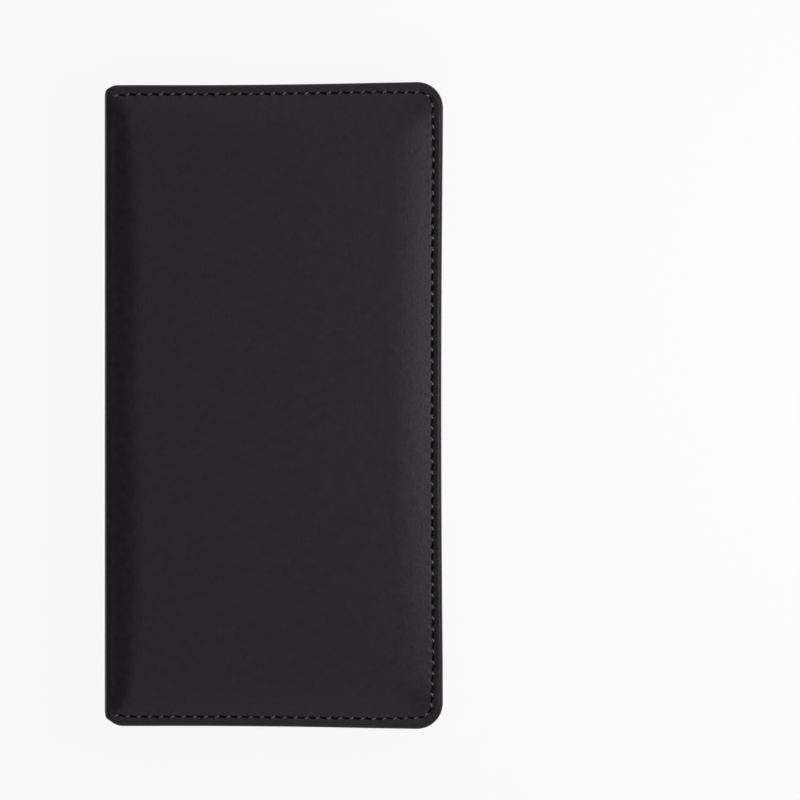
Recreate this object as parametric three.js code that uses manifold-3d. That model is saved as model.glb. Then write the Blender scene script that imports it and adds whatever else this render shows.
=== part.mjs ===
// Travel wallet: two padded covers that fold like a book on a spine with two creases.
// Millimetres, +Z up. The closed wallet lies on its back cover: the spine is at -X, the fore edge at +X.
// The origin is under the middle of the wallet, on the face that it rests on.

import * as THREE from 'three';
import { mergeVertices } from 'three/addons/utils/BufferGeometryUtils.js';
import Module from 'manifold-3d';

const wasm = await Module();
wasm.setup();

// Closed wallet, seen from the front
const walletWidth = 120;
const walletLength = 229;
const foreCornerRadius = 9.5;
const spineCornerRadius = 4;

// The sewn edges draw in between the corners
const endTaper = 1.1;
const endBow = 0.35;
const foreBow = 0.8;

// Padded crown of each cover, inside the stitched border
const stitchInset = 3.4;
const channelDepth = 0.3;
const crownHeight = 2.4;
const crownRun = 14;
const foamEdge = 0.25;

// Thickness of each ply, and the gap between plies
const skinThickness = 0.8;
const boardThickness = 0.8;
const liningThickness = 0.4;
const panelThickness = 0.6;
const filmThickness = 0.3;
const plyGap = 0.15;

// Turned hem, and how far the plies lie inside the edge
const hemWidth = 14;
const boardInset = 1.6;
const liningInset = 2.2;

// Spine and its two creases
const creaseInset = 2.4;
const creaseGap = 0.3;
const spineBulge = 0.5;
const creaseClearance = 1.5;

// Pocket panels, whose edges the border seam catches
const pocketInset = 2;
const pocketCornerRadius = 5;
const panelCornerRadius = 2;
const mouthHemWidth = 7;
const mouthHemThickness = 0.5;
const hemCornerRadius = 0.5;
const ticketMouthDrop = 12;
const ticketSpineMargin = 5;
const documentSpineMargin = 6;
const insideClearance = 0.75;

// Passport pocket: a raised pocket, open at its upper end, below the card slots of the other half
const passportSpaceDepth = 4.45;
const passportFlange = 4;
const passportWallSlope = 1;
const passportSpineMargin = 5;
const passportForeMargin = 1.5;
const passportMouthGap = 14;

// Card slots and window pocket
const cardSlotCount = 4;
const cardSlotStep = 13;
const lastSlotLength = 54;
const slotHemMargin = 3;
const slotForeMargin = 3.5;
const slotTopMargin = 6;
const windowPocketLength = 74;
const windowBottomMargin = 7;
const windowSideRail = 6.5;
const windowEndRail = 12;
const windowCornerRadius = 4;
const filmOverlap = 4;

// Steps of curved stretches
const cornerSteps = 6;
const smallCornerSteps = 3;
const endSteps = 6;
const foreSteps = 8;
const spineSteps = 2;
const crownSteps = 6;
const rollSteps = 6;
const spineArcSteps = 5;
const spineWallSteps = 6;

// Points closer than these are one
const mergeDistance = 1e-5;
const leastSpan = 1e-4;

// Edges of the closed wallet
const spineEdge = -walletWidth / 2;
const foreEdge = walletWidth / 2;
const halfLength = walletLength / 2;
const creaseX = spineEdge + creaseInset;
const coverStart = creaseX + skinThickness / 2 + creaseGap;
const plyStart = coverStart + creaseClearance;
const spineWallX = spineEdge + spineBulge;
const spineFoldDepth = 2 * skinThickness + boardThickness + 2 * plyGap;
const spineHalf = halfLength - endTaper;

// Edges of the pockets
const pocketHalf = halfLength - pocketInset;
const pocketFore = foreEdge - pocketInset;
const ticketLeft = creaseX + ticketSpineMargin;
const documentLeft = creaseX + documentSpineMargin;
const slotLeft = documentLeft + mouthHemWidth + slotHemMargin;
const slotRight = pocketFore - slotForeMargin;
const slotsTop = pocketHalf - slotTopMargin;
const slotsBottom = slotsTop - (cardSlotCount - 1) * cardSlotStep - lastSlotLength;
const windowMiddleX = (slotLeft + slotRight) / 2;
const windowMiddleY = -pocketHalf + windowBottomMargin + windowPocketLength / 2;
const windowPocketWidth = slotRight - slotLeft;
const windowWidth = windowPocketWidth - 2 * windowSideRail;
const windowLength = windowPocketLength - 2 * windowEndRail;

// Depths of the plies of one cover, measured in from the top of its crown
const borderDepth = crownHeight;
const footDepth = borderDepth + channelDepth;
const skinInnerDepth = footDepth + skinThickness;
const boardDepth = skinInnerDepth + plyGap;
const hemDepth = boardDepth + boardThickness + plyGap;
const hemInnerDepth = hemDepth + skinThickness;
const liningDepth = hemInnerDepth + plyGap;
const coverThickness = liningDepth + liningThickness;
const rollRadius = (hemInnerDepth - borderDepth) / 2;
const rollDepth = borderDepth + rollRadius;

// Depths of the pockets on one cover
const pocketDepth = coverThickness + plyGap;
const pocketTop = pocketDepth + panelThickness;
const passportTop = pocketTop + passportSpaceDepth + panelThickness;
const filmDepth = pocketTop + plyGap;
const windowDepth = filmDepth + filmThickness + plyGap;
const windowTop = windowDepth + panelThickness;
const closedThickness = passportTop + insideClearance + windowTop;

// The two covers differ only in which way their depth runs
const backCover = { name: 'back', height: (depth) => depth };
const frontCover = { name: 'front', height: (depth) => closedThickness - depth };

const leather = new THREE.MeshStandardMaterial({ color: 0x2a272a, roughness: 0.55, metalness: 0 });
const fabric = new THREE.MeshStandardMaterial({ color: 0x1b1b1d, roughness: 0.9, metalness: 0 });
const greyboard = new THREE.MeshStandardMaterial({ color: 0x8b857b, roughness: 0.95, metalness: 0 });
const foam = new THREE.MeshStandardMaterial({ color: 0x55555a, roughness: 1, metalness: 0 });
const clearFilm = new THREE.MeshStandardMaterial({
  color: 0xe4e8ea, roughness: 0.12, metalness: 0, transparent: true, opacity: 0.35,
});

// Moves a plan point of a straight-sided cover to where the sewn edge draws it in
function drawIn(x, y) {
  const across = (x - spineEdge) / walletWidth;
  const along = y / halfLength;
  const sag = endTaper * (1 - across) + 4 * endBow * across * (1 - across);
  const bow = foreBow * (1 - along * along) * across * across;
  return new THREE.Vector2(x - bow, y * (1 - sag / halfLength));
}

// Counterclockwise outline of a rectangle, with its own corner radius at the fore and the spine side
function roundedRing(left, right, low, high, foreRadius, spineRadius, steps = cornerSteps) {
  const points = [];
  const addArc = (x, y, radius, start) => {
    for (let i = 0; i <= steps; i++) {
      const angle = start + (i / steps) * (Math.PI / 2);
      points.push(new THREE.Vector2(x + radius * Math.cos(angle), y + radius * Math.sin(angle)));
    }
  };
  const addSide = (x0, y0, x1, y1, count) => {
    for (let i = 1; i < count; i++) {
      const part = i / count;
      points.push(new THREE.Vector2(x0 + part * (x1 - x0), y0 + part * (y1 - y0)));
    }
  };
  addSide(left + spineRadius, low, right - foreRadius, low, endSteps);
  addArc(right - foreRadius, low + foreRadius, foreRadius, -Math.PI / 2);
  addSide(right, low + foreRadius, right, high - foreRadius, foreSteps);
  addArc(right - foreRadius, high - foreRadius, foreRadius, 0);
  addSide(right - foreRadius, high, left + spineRadius, high, endSteps);
  addArc(left + spineRadius, high - spineRadius, spineRadius, Math.PI / 2);
  addSide(left, high - spineRadius, left, low + spineRadius, spineSteps);
  addArc(left + spineRadius, low + spineRadius, spineRadius, Math.PI);
  return points;
}

// Outline of a cover, inset from its three sewn edges and starting at a given line on its spine side
function coverRing(inset, left) {
  const radius = Math.max(foreCornerRadius - inset, panelCornerRadius);
  const half = halfLength - inset;
  return roundedRing(left, foreEdge - inset, -half, half, radius, panelCornerRadius);
}

// Turns a closed geometry's faces outwards
function faceOut(geometry) {
  const position = geometry.getAttribute('position');
  const index = geometry.getIndex();
  const a = new THREE.Vector3();
  const b = new THREE.Vector3();
  const c = new THREE.Vector3();
  let volume = 0;
  for (let i = 0; i < index.count; i += 3) {
    a.fromBufferAttribute(position, index.getX(i));
    b.fromBufferAttribute(position, index.getX(i + 1));
    c.fromBufferAttribute(position, index.getX(i + 2));
    volume += a.dot(b.cross(c));
  }
  if (volume < 0) {
    for (let i = 0; i < index.count; i += 3) {
      const second = index.getX(i + 1);
      index.setX(i + 1, index.getX(i + 2));
      index.setX(i + 2, second);
    }
  }
  return geometry;
}

// Closed solid through a chain of rings with equal counts, capped at its first and last ring
function loft(levels) {
  const count = levels[0].ring.length;
  const positions = [];
  for (const { ring, z } of levels) {
    for (const point of ring) {
      const drawn = drawIn(point.x, point.y);
      positions.push(drawn.x, drawn.y, z);
    }
  }
  const index = [];
  for (let k = 0; k + 1 < levels.length; k++) {
    for (let i = 0; i < count; i++) {
      const here = k * count + i;
      const next = k * count + ((i + 1) % count);
      index.push(here, next, next + count, here, next + count, here + count);
    }
  }
  const last = (levels.length - 1) * count;
  for (const [a, b, c] of THREE.ShapeUtils.triangulateShape(levels[0].ring, [])) {
    index.push(a, c, b);
  }
  for (const [a, b, c] of THREE.ShapeUtils.triangulateShape(levels.at(-1).ring, [])) {
    index.push(last + a, last + b, last + c);
  }
  const geometry = new THREE.BufferGeometry();
  geometry.setAttribute('position', new THREE.Float32BufferAttribute(positions, 3));
  geometry.setIndex(index);
  return faceOut(geometry);
}

// Flat sheet with a given outline, between two depths of a cover
function sheet(cover, ring, depth, thickness) {
  return loft([
    { ring, z: cover.height(depth) },
    { ring, z: cover.height(depth + thickness) },
  ]);
}

function toSolid(geometry) {
  const bare = geometry.clone();
  bare.deleteAttribute('normal');
  bare.deleteAttribute('uv');
  const merged = mergeVertices(bare, mergeDistance);
  return new wasm.Manifold(new wasm.Mesh({
    numProp: 3,
    vertProperties: new Float32Array(merged.getAttribute('position').array),
    triVerts: new Uint32Array(merged.getIndex().array),
  }));
}

function toGeometry(solid) {
  const mesh = solid.getMesh();
  const geometry = new THREE.BufferGeometry();
  geometry.setAttribute('position', new THREE.BufferAttribute(new Float32Array(mesh.vertProperties), 3));
  geometry.setIndex(new THREE.BufferAttribute(new Uint32Array(mesh.triVerts), 1));
  return geometry;
}

// Box between two corners
function block(low, high) {
  const size = new THREE.Vector3().subVectors(high, low);
  const middle = new THREE.Vector3().addVectors(low, high).multiplyScalar(0.5);
  return new THREE.BoxGeometry(size.x, size.y, size.z).translate(middle.x, middle.y, middle.z);
}

// How far the padded crown has risen at a distance in from its foot, the sewn channel
function crownRise(distance) {
  const left = 1 - distance / crownRun;
  return footDepth * (1 - left * left);
}

// Skin of one cover: crown, sewn channel, border, rolled edge and turned hem. It is open at the crease.
function coverSkin(cover) {
  const cutAway = coverStart - hemWidth;
  const levels = [];
  const add = (inset, left, depth) => {
    levels.push({ ring: coverRing(inset, left), z: cover.height(depth) });
  };
  const addCrown = (step, offset) => {
    const distance = (step / crownSteps) * crownRun;
    add(stitchInset + distance, creaseX + distance, footDepth - crownRise(distance) + offset);
  };
  const addRoll = (step, radius) => {
    const angle = (step / rollSteps) * Math.PI;
    const inset = rollRadius - radius * Math.sin(angle);
    add(inset, cutAway + inset, rollDepth - radius * Math.cos(angle));
  };
  for (let step = crownSteps; step >= 0; step--) {
    addCrown(step, 0);
  }
  for (let step = 0; step <= rollSteps; step++) {
    addRoll(step, rollRadius);
  }
  add(hemWidth, cutAway + hemWidth / 2, hemInnerDepth);
  add(hemWidth, cutAway + hemWidth / 2, hemDepth);
  for (let step = rollSteps; step >= 0; step--) {
    addRoll(step, rollRadius - skinThickness);
  }
  for (let step = 0; step <= crownSteps; step++) {
    addCrown(step, skinThickness);
  }
  const reach = walletWidth + walletLength;
  const kept = block(new THREE.Vector3(coverStart, -reach, -reach), new THREE.Vector3(reach, reach, reach));
  return toGeometry(toSolid(loft(levels)).intersect(toSolid(kept)));
}

// Foam pad that fills the crown, between the skin and the board
function coverFoam(cover) {
  const footRise = plyGap + foamEdge;
  const foot = crownRun * (1 - Math.sqrt(Math.max(1 - footRise / footDepth, 0)));
  const footRing = coverRing(stitchInset + foot, coverStart + foot);
  const levels = [{ ring: footRing, z: cover.height(skinInnerDepth) }];
  for (let step = 0; step <= crownSteps; step++) {
    const distance = foot + (step / crownSteps) * (crownRun - foot);
    levels.push({
      ring: coverRing(stitchInset + distance, coverStart + distance),
      z: cover.height(skinInnerDepth + plyGap - crownRise(distance)),
    });
  }
  return loft(levels);
}

function coverBoard(cover) {
  return sheet(cover, coverRing(boardInset, plyStart), boardDepth, boardThickness);
}

function coverLining(cover) {
  return sheet(cover, coverRing(liningInset, plyStart), liningDepth, liningThickness);
}

// Section of the spine skin: a bulging wall between two rounded turns that end at the creases
function spineSection(frontCreaseZ, backCreaseZ) {
  const half = skinThickness / 2;
  const turn = creaseX - spineWallX;
  const top = frontCreaseZ + half;
  const bottom = backCreaseZ - half;
  const points = [];
  const addArc = (x, z, radius, start, sweep) => {
    for (let i = 0; i <= spineArcSteps; i++) {
      const angle = start + (i / spineArcSteps) * sweep;
      points.push(new THREE.Vector2(x + radius * Math.cos(angle), z + radius * Math.sin(angle)));
    }
  };
  const addWall = (x, z0, z1) => {
    for (let i = 1; i < spineWallSteps; i++) {
      const part = i / spineWallSteps;
      points.push(new THREE.Vector2(x - 4 * spineBulge * part * (1 - part), z0 + part * (z1 - z0)));
    }
  };
  const quarter = Math.PI / 2;
  addArc(creaseX, frontCreaseZ, half, -quarter, 2 * quarter);
  addArc(creaseX, top - turn, turn, quarter, quarter);
  addWall(spineWallX, top - turn, bottom + turn);
  addArc(creaseX, bottom + turn, turn, 2 * quarter, quarter);
  addArc(creaseX, backCreaseZ, half, -quarter, 2 * quarter);
  addArc(creaseX, bottom + turn, turn - skinThickness, -quarter, -quarter);
  addWall(spineWallX + skinThickness, bottom + turn, top - turn);
  addArc(creaseX, top - turn, turn - skinThickness, 2 * quarter, -quarter);
  return points.filter((point, i) => point.distanceTo(points[(i + 1) % points.length]) > leastSpan);
}

// Upright strip of the spine, between two X planes
function spineStrip(x, thickness, low, high, inset) {
  const half = spineHalf - inset;
  const outline = new THREE.Shape([
    new THREE.Vector2(-half, low),
    new THREE.Vector2(half, low),
    new THREE.Vector2(half, high),
    new THREE.Vector2(-half, high),
  ]);
  const strip = new THREE.ExtrudeGeometry(outline, { depth: thickness, bevelEnabled: false });
  return strip.rotateX(Math.PI / 2).rotateZ(Math.PI / 2).translate(x, 0, 0);
}

// Skin folded in over one end of the stiffener, between two heights
function spineEndHem(low, high) {
  const outer = spineFoldDepth / 2;
  const inner = outer - skinThickness;
  const bend = spineCornerRadius - skinThickness;
  const middleX = spineWallX + outer;
  const bendY = spineHalf - spineCornerRadius;
  const hemY = spineHalf - hemWidth;
  const fold = new THREE.Shape();
  fold.moveTo(middleX - outer, hemY);
  fold.lineTo(middleX - inner, hemY);
  fold.lineTo(middleX - inner, bendY);
  fold.absellipse(middleX, bendY, inner, bend - skinThickness, Math.PI, 0, true);
  fold.lineTo(middleX + inner, hemY);
  fold.lineTo(middleX + outer, hemY);
  fold.lineTo(middleX + outer, bendY);
  fold.absellipse(middleX, bendY, outer, bend, 0, Math.PI, false);
  const hem = new THREE.ExtrudeGeometry(fold, {
    depth: high - low, bevelEnabled: false, curveSegments: rollSteps,
  });
  return hem.translate(0, 0, low);
}

// Skin of the spine, with rounded corners in plan and a hem turned in at each end
function spineSkin(frontCreaseZ, backCreaseZ, low, high) {
  const section = new THREE.Shape(spineSection(frontCreaseZ, backCreaseZ));
  const tube = new THREE.ExtrudeGeometry(section, { depth: walletLength, bevelEnabled: false });
  tube.rotateX(Math.PI / 2).translate(0, halfLength, 0);
  const plan = roundedRing(
    spineEdge, foreEdge, -halfLength, halfLength, foreCornerRadius, spineCornerRadius,
  );
  const ends = loft([
    { ring: plan, z: -closedThickness },
    { ring: plan, z: 2 * closedThickness },
  ]);
  const upperHem = toSolid(spineEndHem(low, high));
  const lowerHem = toSolid(spineEndHem(low, high).rotateX(Math.PI).translate(0, 0, low + high));
  return toGeometry(toSolid(tube).intersect(toSolid(ends)).add(upperHem).add(lowerHem));
}

// Flat panel with a folded hem along its mouth, which stands up from the panel
function panelWithHem(cover, box, depth, hemBox) {
  const ring = ({ left, right, low, high }, radius) => (
    roundedRing(left, right, low, high, radius, radius, smallCornerSteps)
  );
  const panel = sheet(cover, ring(box, box.radius), depth, panelThickness);
  const hemTop = panelThickness + mouthHemThickness;
  const hem = sheet(cover, ring(hemBox, hemCornerRadius), depth + plyGap, hemTop - plyGap);
  return toGeometry(toSolid(panel).add(toSolid(hem)));
}

// Full-length ticket pocket of the back half, with its mouth at the upper end
function ticketPocket() {
  const box = {
    left: ticketLeft,
    right: pocketFore,
    low: -pocketHalf,
    high: pocketHalf - ticketMouthDrop,
    radius: pocketCornerRadius,
  };
  const hem = {
    left: box.left + pocketCornerRadius,
    right: box.right - pocketCornerRadius,
    low: box.high - mouthHemWidth,
    high: box.high - plyGap,
  };
  return panelWithHem(backCover, box, pocketDepth, hem);
}

// Full-length document pocket of the front half, with its mouth along the spine
function documentPocket() {
  const box = {
    left: documentLeft,
    right: pocketFore,
    low: -pocketHalf,
    high: pocketHalf,
    radius: pocketCornerRadius,
  };
  const hem = {
    left: box.left + plyGap,
    right: box.left + mouthHemWidth,
    low: box.low + pocketCornerRadius,
    high: box.high - pocketCornerRadius,
  };
  return panelWithHem(frontCover, box, pocketDepth, hem);
}

// Raised passport pocket: a flange sewn on three sides, sloping walls and a panel, open at its mouth
function passportPocket() {
  const left = ticketLeft + passportSpineMargin;
  const right = pocketFore - passportForeMargin;
  const outerWidth = right - left;
  const low = -pocketHalf + passportForeMargin;
  const mouth = slotsBottom - passportMouthGap;
  const beyond = mouth + outerWidth / 2;
  const flangeDepth = pocketTop + plyGap;
  const panelDepth = pocketTop + passportSpaceDepth;
  const ring = (inset) => {
    const radius = Math.max(pocketCornerRadius - inset, panelCornerRadius);
    return roundedRing(left + inset, right - inset, low + inset, beyond, radius, radius, smallCornerSteps);
  };
  const add = (inset, depth) => ({ ring: ring(inset), z: backCover.height(depth) });
  const wallFoot = passportFlange - passportWallSlope;
  const shell = loft([
    add(passportFlange + panelThickness, panelDepth),
    add(wallFoot + panelThickness, flangeDepth),
    add(0, flangeDepth),
    add(0, flangeDepth + panelThickness),
    add(wallFoot, flangeDepth + panelThickness),
    add(passportFlange, panelDepth + panelThickness),
  ]);
  const kept = block(
    new THREE.Vector3(left - outerWidth, low - outerWidth, -outerWidth),
    new THREE.Vector3(right + outerWidth, mouth, outerWidth),
  );
  const pocket = toSolid(shell).intersect(toSolid(kept));
  const hemRing = roundedRing(
    left + passportFlange + panelCornerRadius,
    right - passportFlange - panelCornerRadius,
    mouth - mouthHemWidth,
    mouth - plyGap,
    hemCornerRadius,
    hemCornerRadius,
    smallCornerSteps,
  );
  const hemHeight = panelThickness + mouthHemThickness - plyGap;
  const hem = sheet(backCover, hemRing, panelDepth + plyGap, hemHeight);
  return toGeometry(pocket.add(toSolid(hem)));
}

// One card slot panel: each lies on the last, and its mouth is a step lower
function cardSlot(number) {
  const box = {
    left: slotLeft,
    right: slotRight,
    low: slotsBottom,
    high: slotsTop - number * cardSlotStep,
    radius: panelCornerRadius,
  };
  const hem = {
    left: box.left + panelCornerRadius,
    right: box.right - panelCornerRadius,
    low: box.high - mouthHemWidth,
    high: box.high - plyGap,
  };
  const depth = pocketTop + plyGap + number * (panelThickness + plyGap);
  return panelWithHem(frontCover, box, depth, hem);
}

// Rounded outline round the middle of the window pocket
function windowRing(width, length, radius) {
  return roundedRing(
    windowMiddleX - width / 2,
    windowMiddleX + width / 2,
    windowMiddleY - length / 2,
    windowMiddleY + length / 2,
    radius,
    radius,
    smallCornerSteps,
  );
}

function windowFrame() {
  const outer = windowRing(windowPocketWidth, windowPocketLength, panelCornerRadius);
  const inner = windowRing(windowWidth, windowLength, windowCornerRadius);
  const panel = sheet(frontCover, outer, windowDepth, panelThickness);
  const hole = sheet(frontCover, inner, windowDepth - plyGap, panelThickness + 2 * plyGap);
  return toGeometry(toSolid(panel).subtract(toSolid(hole)));
}

function windowFilm() {
  const ring = windowRing(windowWidth + 2 * filmOverlap, windowLength + 2 * filmOverlap, windowCornerRadius);
  return sheet(frontCover, ring, filmDepth, filmThickness);
}

function piece(name, geometry, material) {
  geometry.computeVertexNormals();
  const mesh = new THREE.Mesh(geometry, material);
  mesh.name = name;
  return mesh;
}

// Skin, foam, board and lining of one cover
function cover(side) {
  const group = new THREE.Group();
  group.add(
    piece(`${side.name}_cover_skin`, coverSkin(side), leather),
    piece(`${side.name}_foam`, coverFoam(side), foam),
    piece(`${side.name}_board`, coverBoard(side), greyboard),
    piece(`${side.name}_lining`, coverLining(side), fabric),
  );
  return group;
}

function spine() {
  const backCreaseZ = backCover.height(footDepth + skinThickness / 2);
  const frontCreaseZ = frontCover.height(footDepth + skinThickness / 2);
  const clearDepth = hemInnerDepth + creaseGap;
  const low = backCover.height(clearDepth);
  const high = frontCover.height(clearDepth);
  const stiffenerX = spineWallX + skinThickness + plyGap;
  const liningX = spineWallX + spineFoldDepth + plyGap;
  const stiffener = spineStrip(stiffenerX, boardThickness, low, high, spineCornerRadius);
  const group = new THREE.Group();
  group.add(
    piece('spine_skin', spineSkin(frontCreaseZ, backCreaseZ, low, high), leather),
    piece('spine_stiffener', stiffener, greyboard),
    piece('spine_lining', spineStrip(liningX, liningThickness, low, high, liningInset), fabric),
  );
  return group;
}

function pockets() {
  const group = new THREE.Group();
  group.add(
    piece('ticket_pocket', ticketPocket(), leather),
    piece('passport_pocket', passportPocket(), leather),
    piece('document_pocket', documentPocket(), leather),
    piece('id_window_frame', windowFrame(), leather),
    piece('id_window_film', windowFilm(), clearFilm),
  );
  for (let number = 0; number < cardSlotCount; number++) {
    group.add(piece(`card_slot_${number + 1}`, cardSlot(number), leather));
  }
  return group;
}

const wallet = new THREE.Group();
wallet.add(cover(backCover), spine(), cover(frontCover), pockets());

export default wallet;
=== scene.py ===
"""Looks of a long padded travel wallet in black leatherette that opens like a book."""
import logging
import math
from dataclasses import dataclass, field
from enum import Enum

import bpy
import numpy as np
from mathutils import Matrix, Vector


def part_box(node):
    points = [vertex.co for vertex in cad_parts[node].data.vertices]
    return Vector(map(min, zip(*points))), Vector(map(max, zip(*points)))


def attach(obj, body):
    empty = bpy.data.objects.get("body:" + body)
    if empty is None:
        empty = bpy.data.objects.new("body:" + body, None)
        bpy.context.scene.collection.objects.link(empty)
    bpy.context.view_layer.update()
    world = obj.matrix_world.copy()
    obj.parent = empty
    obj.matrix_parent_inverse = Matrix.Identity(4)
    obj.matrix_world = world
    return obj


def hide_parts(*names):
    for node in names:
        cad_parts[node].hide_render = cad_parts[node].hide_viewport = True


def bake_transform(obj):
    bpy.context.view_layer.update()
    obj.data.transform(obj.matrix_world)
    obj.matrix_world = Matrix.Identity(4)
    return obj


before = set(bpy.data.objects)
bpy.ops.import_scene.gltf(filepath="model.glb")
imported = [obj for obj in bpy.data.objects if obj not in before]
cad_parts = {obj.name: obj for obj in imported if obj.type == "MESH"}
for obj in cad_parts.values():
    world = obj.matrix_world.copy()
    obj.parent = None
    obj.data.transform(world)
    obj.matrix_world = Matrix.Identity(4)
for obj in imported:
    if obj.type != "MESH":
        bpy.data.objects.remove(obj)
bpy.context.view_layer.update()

MM = 0.001
LOG = logging.getLogger("travel_wallet")


class Side(Enum):
    """The two halves of the wallet, named by the body that carries each."""

    FRONT = "front"
    BACK = "back"


class Slot(Enum):
    """Material slots of the record."""

    LEATHER = "leatherette"
    LINING = "lining"
    BOARD = "greyboard"
    PADDING = "padding"
    FILM = "clear_film"
    THREAD = "thread"


@dataclass(frozen=True)
class WalletSizes:
    """Sizes of the closed wallet that its sub-assemblies share, in metres."""

    width: float = 120 * MM
    length: float = 229 * MM
    thickness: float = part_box("front_cover_skin")[1].z
    fore_corner: float = 9.5 * MM
    upper_spine_corner: float = 5 * MM
    lower_spine_corner: float = 7 * MM
    inner_corner: float = 2.5 * MM
    seam_tightening: float = 1.6 * MM
    upper_corner_dip: float = 0.9 * MM
    lower_corner_dip: float = 1.5 * MM
    corner_dip_run: float = 24 * MM
    even_rings: float = 24 * MM
    middle_end: float = 12 * MM
    end_taper: float = 1.35 * MM
    end_bow: float = 0.6 * MM
    fore_bow: float = 0.8 * MM
    crease_inset: float = 2.4 * MM
    spine_bulge: float = 0.5 * MM
    stitch_inset: float = 3.4 * MM
    stitch_pitch: float = 3.95 * MM
    stitch_slant: float = 0.55 * MM
    first_stitch: float = 2.2 * MM
    seam_dip: float = 0.75 * MM
    seam_dip_run: float = 14 * MM
    seam_dip_reach: float = 2.5 * MM
    border_depth: float = 2.4 * MM
    channel_depth: float = 0.3 * MM
    crown_run: float = 17 * MM
    crown_power: float = 1.7
    corner_power: float = 3.0
    spine_run: float = 12 * MM
    spine_run_end: float = 7 * MM
    spine_fade: float = 40 * MM
    skin: float = 0.8 * MM
    edge_roll: float = 1.5 * MM
    hem_width: float = 12 * MM

    @property
    def crease_x(self) -> float:
        """Place of the two creases across the wallet."""
        return -self.width / 2 + self.crease_inset

    @property
    def foot_depth(self) -> float:
        """Depth of the sewn channel and of the crease under the crown."""
        return self.border_depth + self.channel_depth

    @property
    def turn_radius(self) -> float:
        """Radius of the skin where it turns from the crease into the spine."""
        return self.crease_inset - self.spine_bulge

    def draw_in(self, x: np.ndarray, y: np.ndarray) -> tuple[np.ndarray, np.ndarray]:
        """Pulls the sides in between the corners, as sewn padding does.

        Args:
            x: places across the wallet.
            y: places along the wallet.

        Returns:
            The drawn-in places across and along.
        """
        across = (x + self.width / 2) / self.width
        along = y / (self.length / 2)
        sag = self.end_taper * (1 - across) + 4 * self.end_bow * across * (1 - across)
        bow = self.fore_bow * (1 - along**2) * across**2
        return x - bow, y * (1 - sag / (self.length / 2))

    def draw_out(self, x: np.ndarray, y: np.ndarray) -> tuple[np.ndarray, np.ndarray]:
        """Undoes draw_in."""
        drawn_x, drawn_y = self.draw_in(x, y)
        return 2 * x - drawn_x, 2 * y - drawn_y

    def height(self, depth: np.ndarray, side: Side) -> np.ndarray:
        """Height above the table of a depth under a cover's crown."""
        return self.thickness - depth if side is Side.FRONT else depth


@dataclass(frozen=True)
class EdgeRings:
    """Open rings parallel to the lower, fore and upper edges of a cover.

    A share of 0 is beside the spine at the lower end, and 1 beside the spine at the upper end.
    """

    sizes: WalletSizes
    start: float

    def corner_radius(self, inset: np.ndarray) -> np.ndarray:
        """Rounds the rings at the fore corners, tighter on the seam than on the edge.

        Args:
            inset: distance of each ring from the edge.

        Returns:
            Each ring's radius.
        """
        s = self.sizes
        sewn = np.clip((inset - s.edge_roll) / (s.stitch_inset - s.edge_roll), 0, 1)
        return np.maximum(s.fore_corner - inset - s.seam_tightening * sewn, s.inner_corner)

    @property
    def stretches(self) -> tuple[float, float, float]:
        """Measures the stitch line.

        Returns:
            The lengths of its end stretch, its corner and its fore stretch.
        """
        s = self.sizes
        radius = float(self.corner_radius(np.array(s.stitch_inset)))
        end = s.width / 2 - s.stitch_inset - radius - self.start
        return end, math.pi / 2 * radius, s.length - 2 * (s.stitch_inset + radius)

    @property
    def total(self) -> float:
        """Length of the stitch line from one end beside the spine to the other."""
        end, corner, fore = self.stretches
        return 2 * end + 2 * corner + fore

    def places(
        self, inset: np.ndarray, share: np.ndarray, dipped: bool = True
    ) -> tuple[np.ndarray, np.ndarray]:
        """Finds points on the rings, before the sides are drawn in.

        Args:
            inset: distance of each point's ring from the edge.
            share: place of each point along its ring.
            dipped: whether the seam is drawn in at the fore corners, as it is outside.

        Returns:
            The places across and along the wallet.
        """
        s = self.sizes
        end, corner, fore = self.stretches
        marks = np.cumsum([end, corner, fore, corner]) / self.total
        top = s.length / 2 - inset
        deep = np.maximum(inset - s.even_rings, 0)
        closing = (s.width / 2 - s.even_rings - s.middle_end) / (s.length / 2 - s.even_rings)
        right = s.width / 2 - np.minimum(inset, s.even_rings) - deep * closing
        radius = np.clip(self.corner_radius(inset), 0, np.minimum(top, right - self.start))
        low = share / marks[0]
        first = (share - marks[0]) / (marks[1] - marks[0]) * math.pi / 2
        rise = (share - marks[1]) / (marks[2] - marks[1])
        second = (share - marks[2]) / (marks[3] - marks[2]) * math.pi / 2
        high = (1 - share) / (1 - marks[3])
        spans = [share <= marks[0], share <= marks[1], share <= marks[2], share <= marks[3]]
        across = right - radius
        x = np.select(
            spans,
            [
                self.start + low * (across - self.start),
                across + radius * np.sin(first),
                right,
                across + radius * np.cos(second),
            ],
            self.start + high * (across - self.start),
        )
        y = np.select(
            spans,
            [
                -top,
                -(top - radius) - radius * np.cos(first),
                (2 * rise - 1) * (top - radius),
                top - radius + radius * np.sin(second),
            ],
            top,
        )
        near = np.clip(1 - (x - self.start) / s.seam_dip_run, 0, 1)
        seam = np.exp(-(((inset - s.stitch_inset) / s.seam_dip_reach) ** 2))
        dip = s.seam_dip * near**2 * seam
        fore_share = np.clip(1 - (s.width / 2 - x) / s.corner_dip_run, 0, 1)
        end_share = np.clip(1 - (s.length / 2 - np.abs(y)) / s.corner_dip_run, 0, 1)
        corner_dip = np.where(y > 0, s.upper_corner_dip, s.lower_corner_dip) * dipped
        corner_dip = corner_dip * fore_share * end_share * seam
        return x - corner_dip, y - np.sign(y) * (dip + corner_dip)


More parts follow.
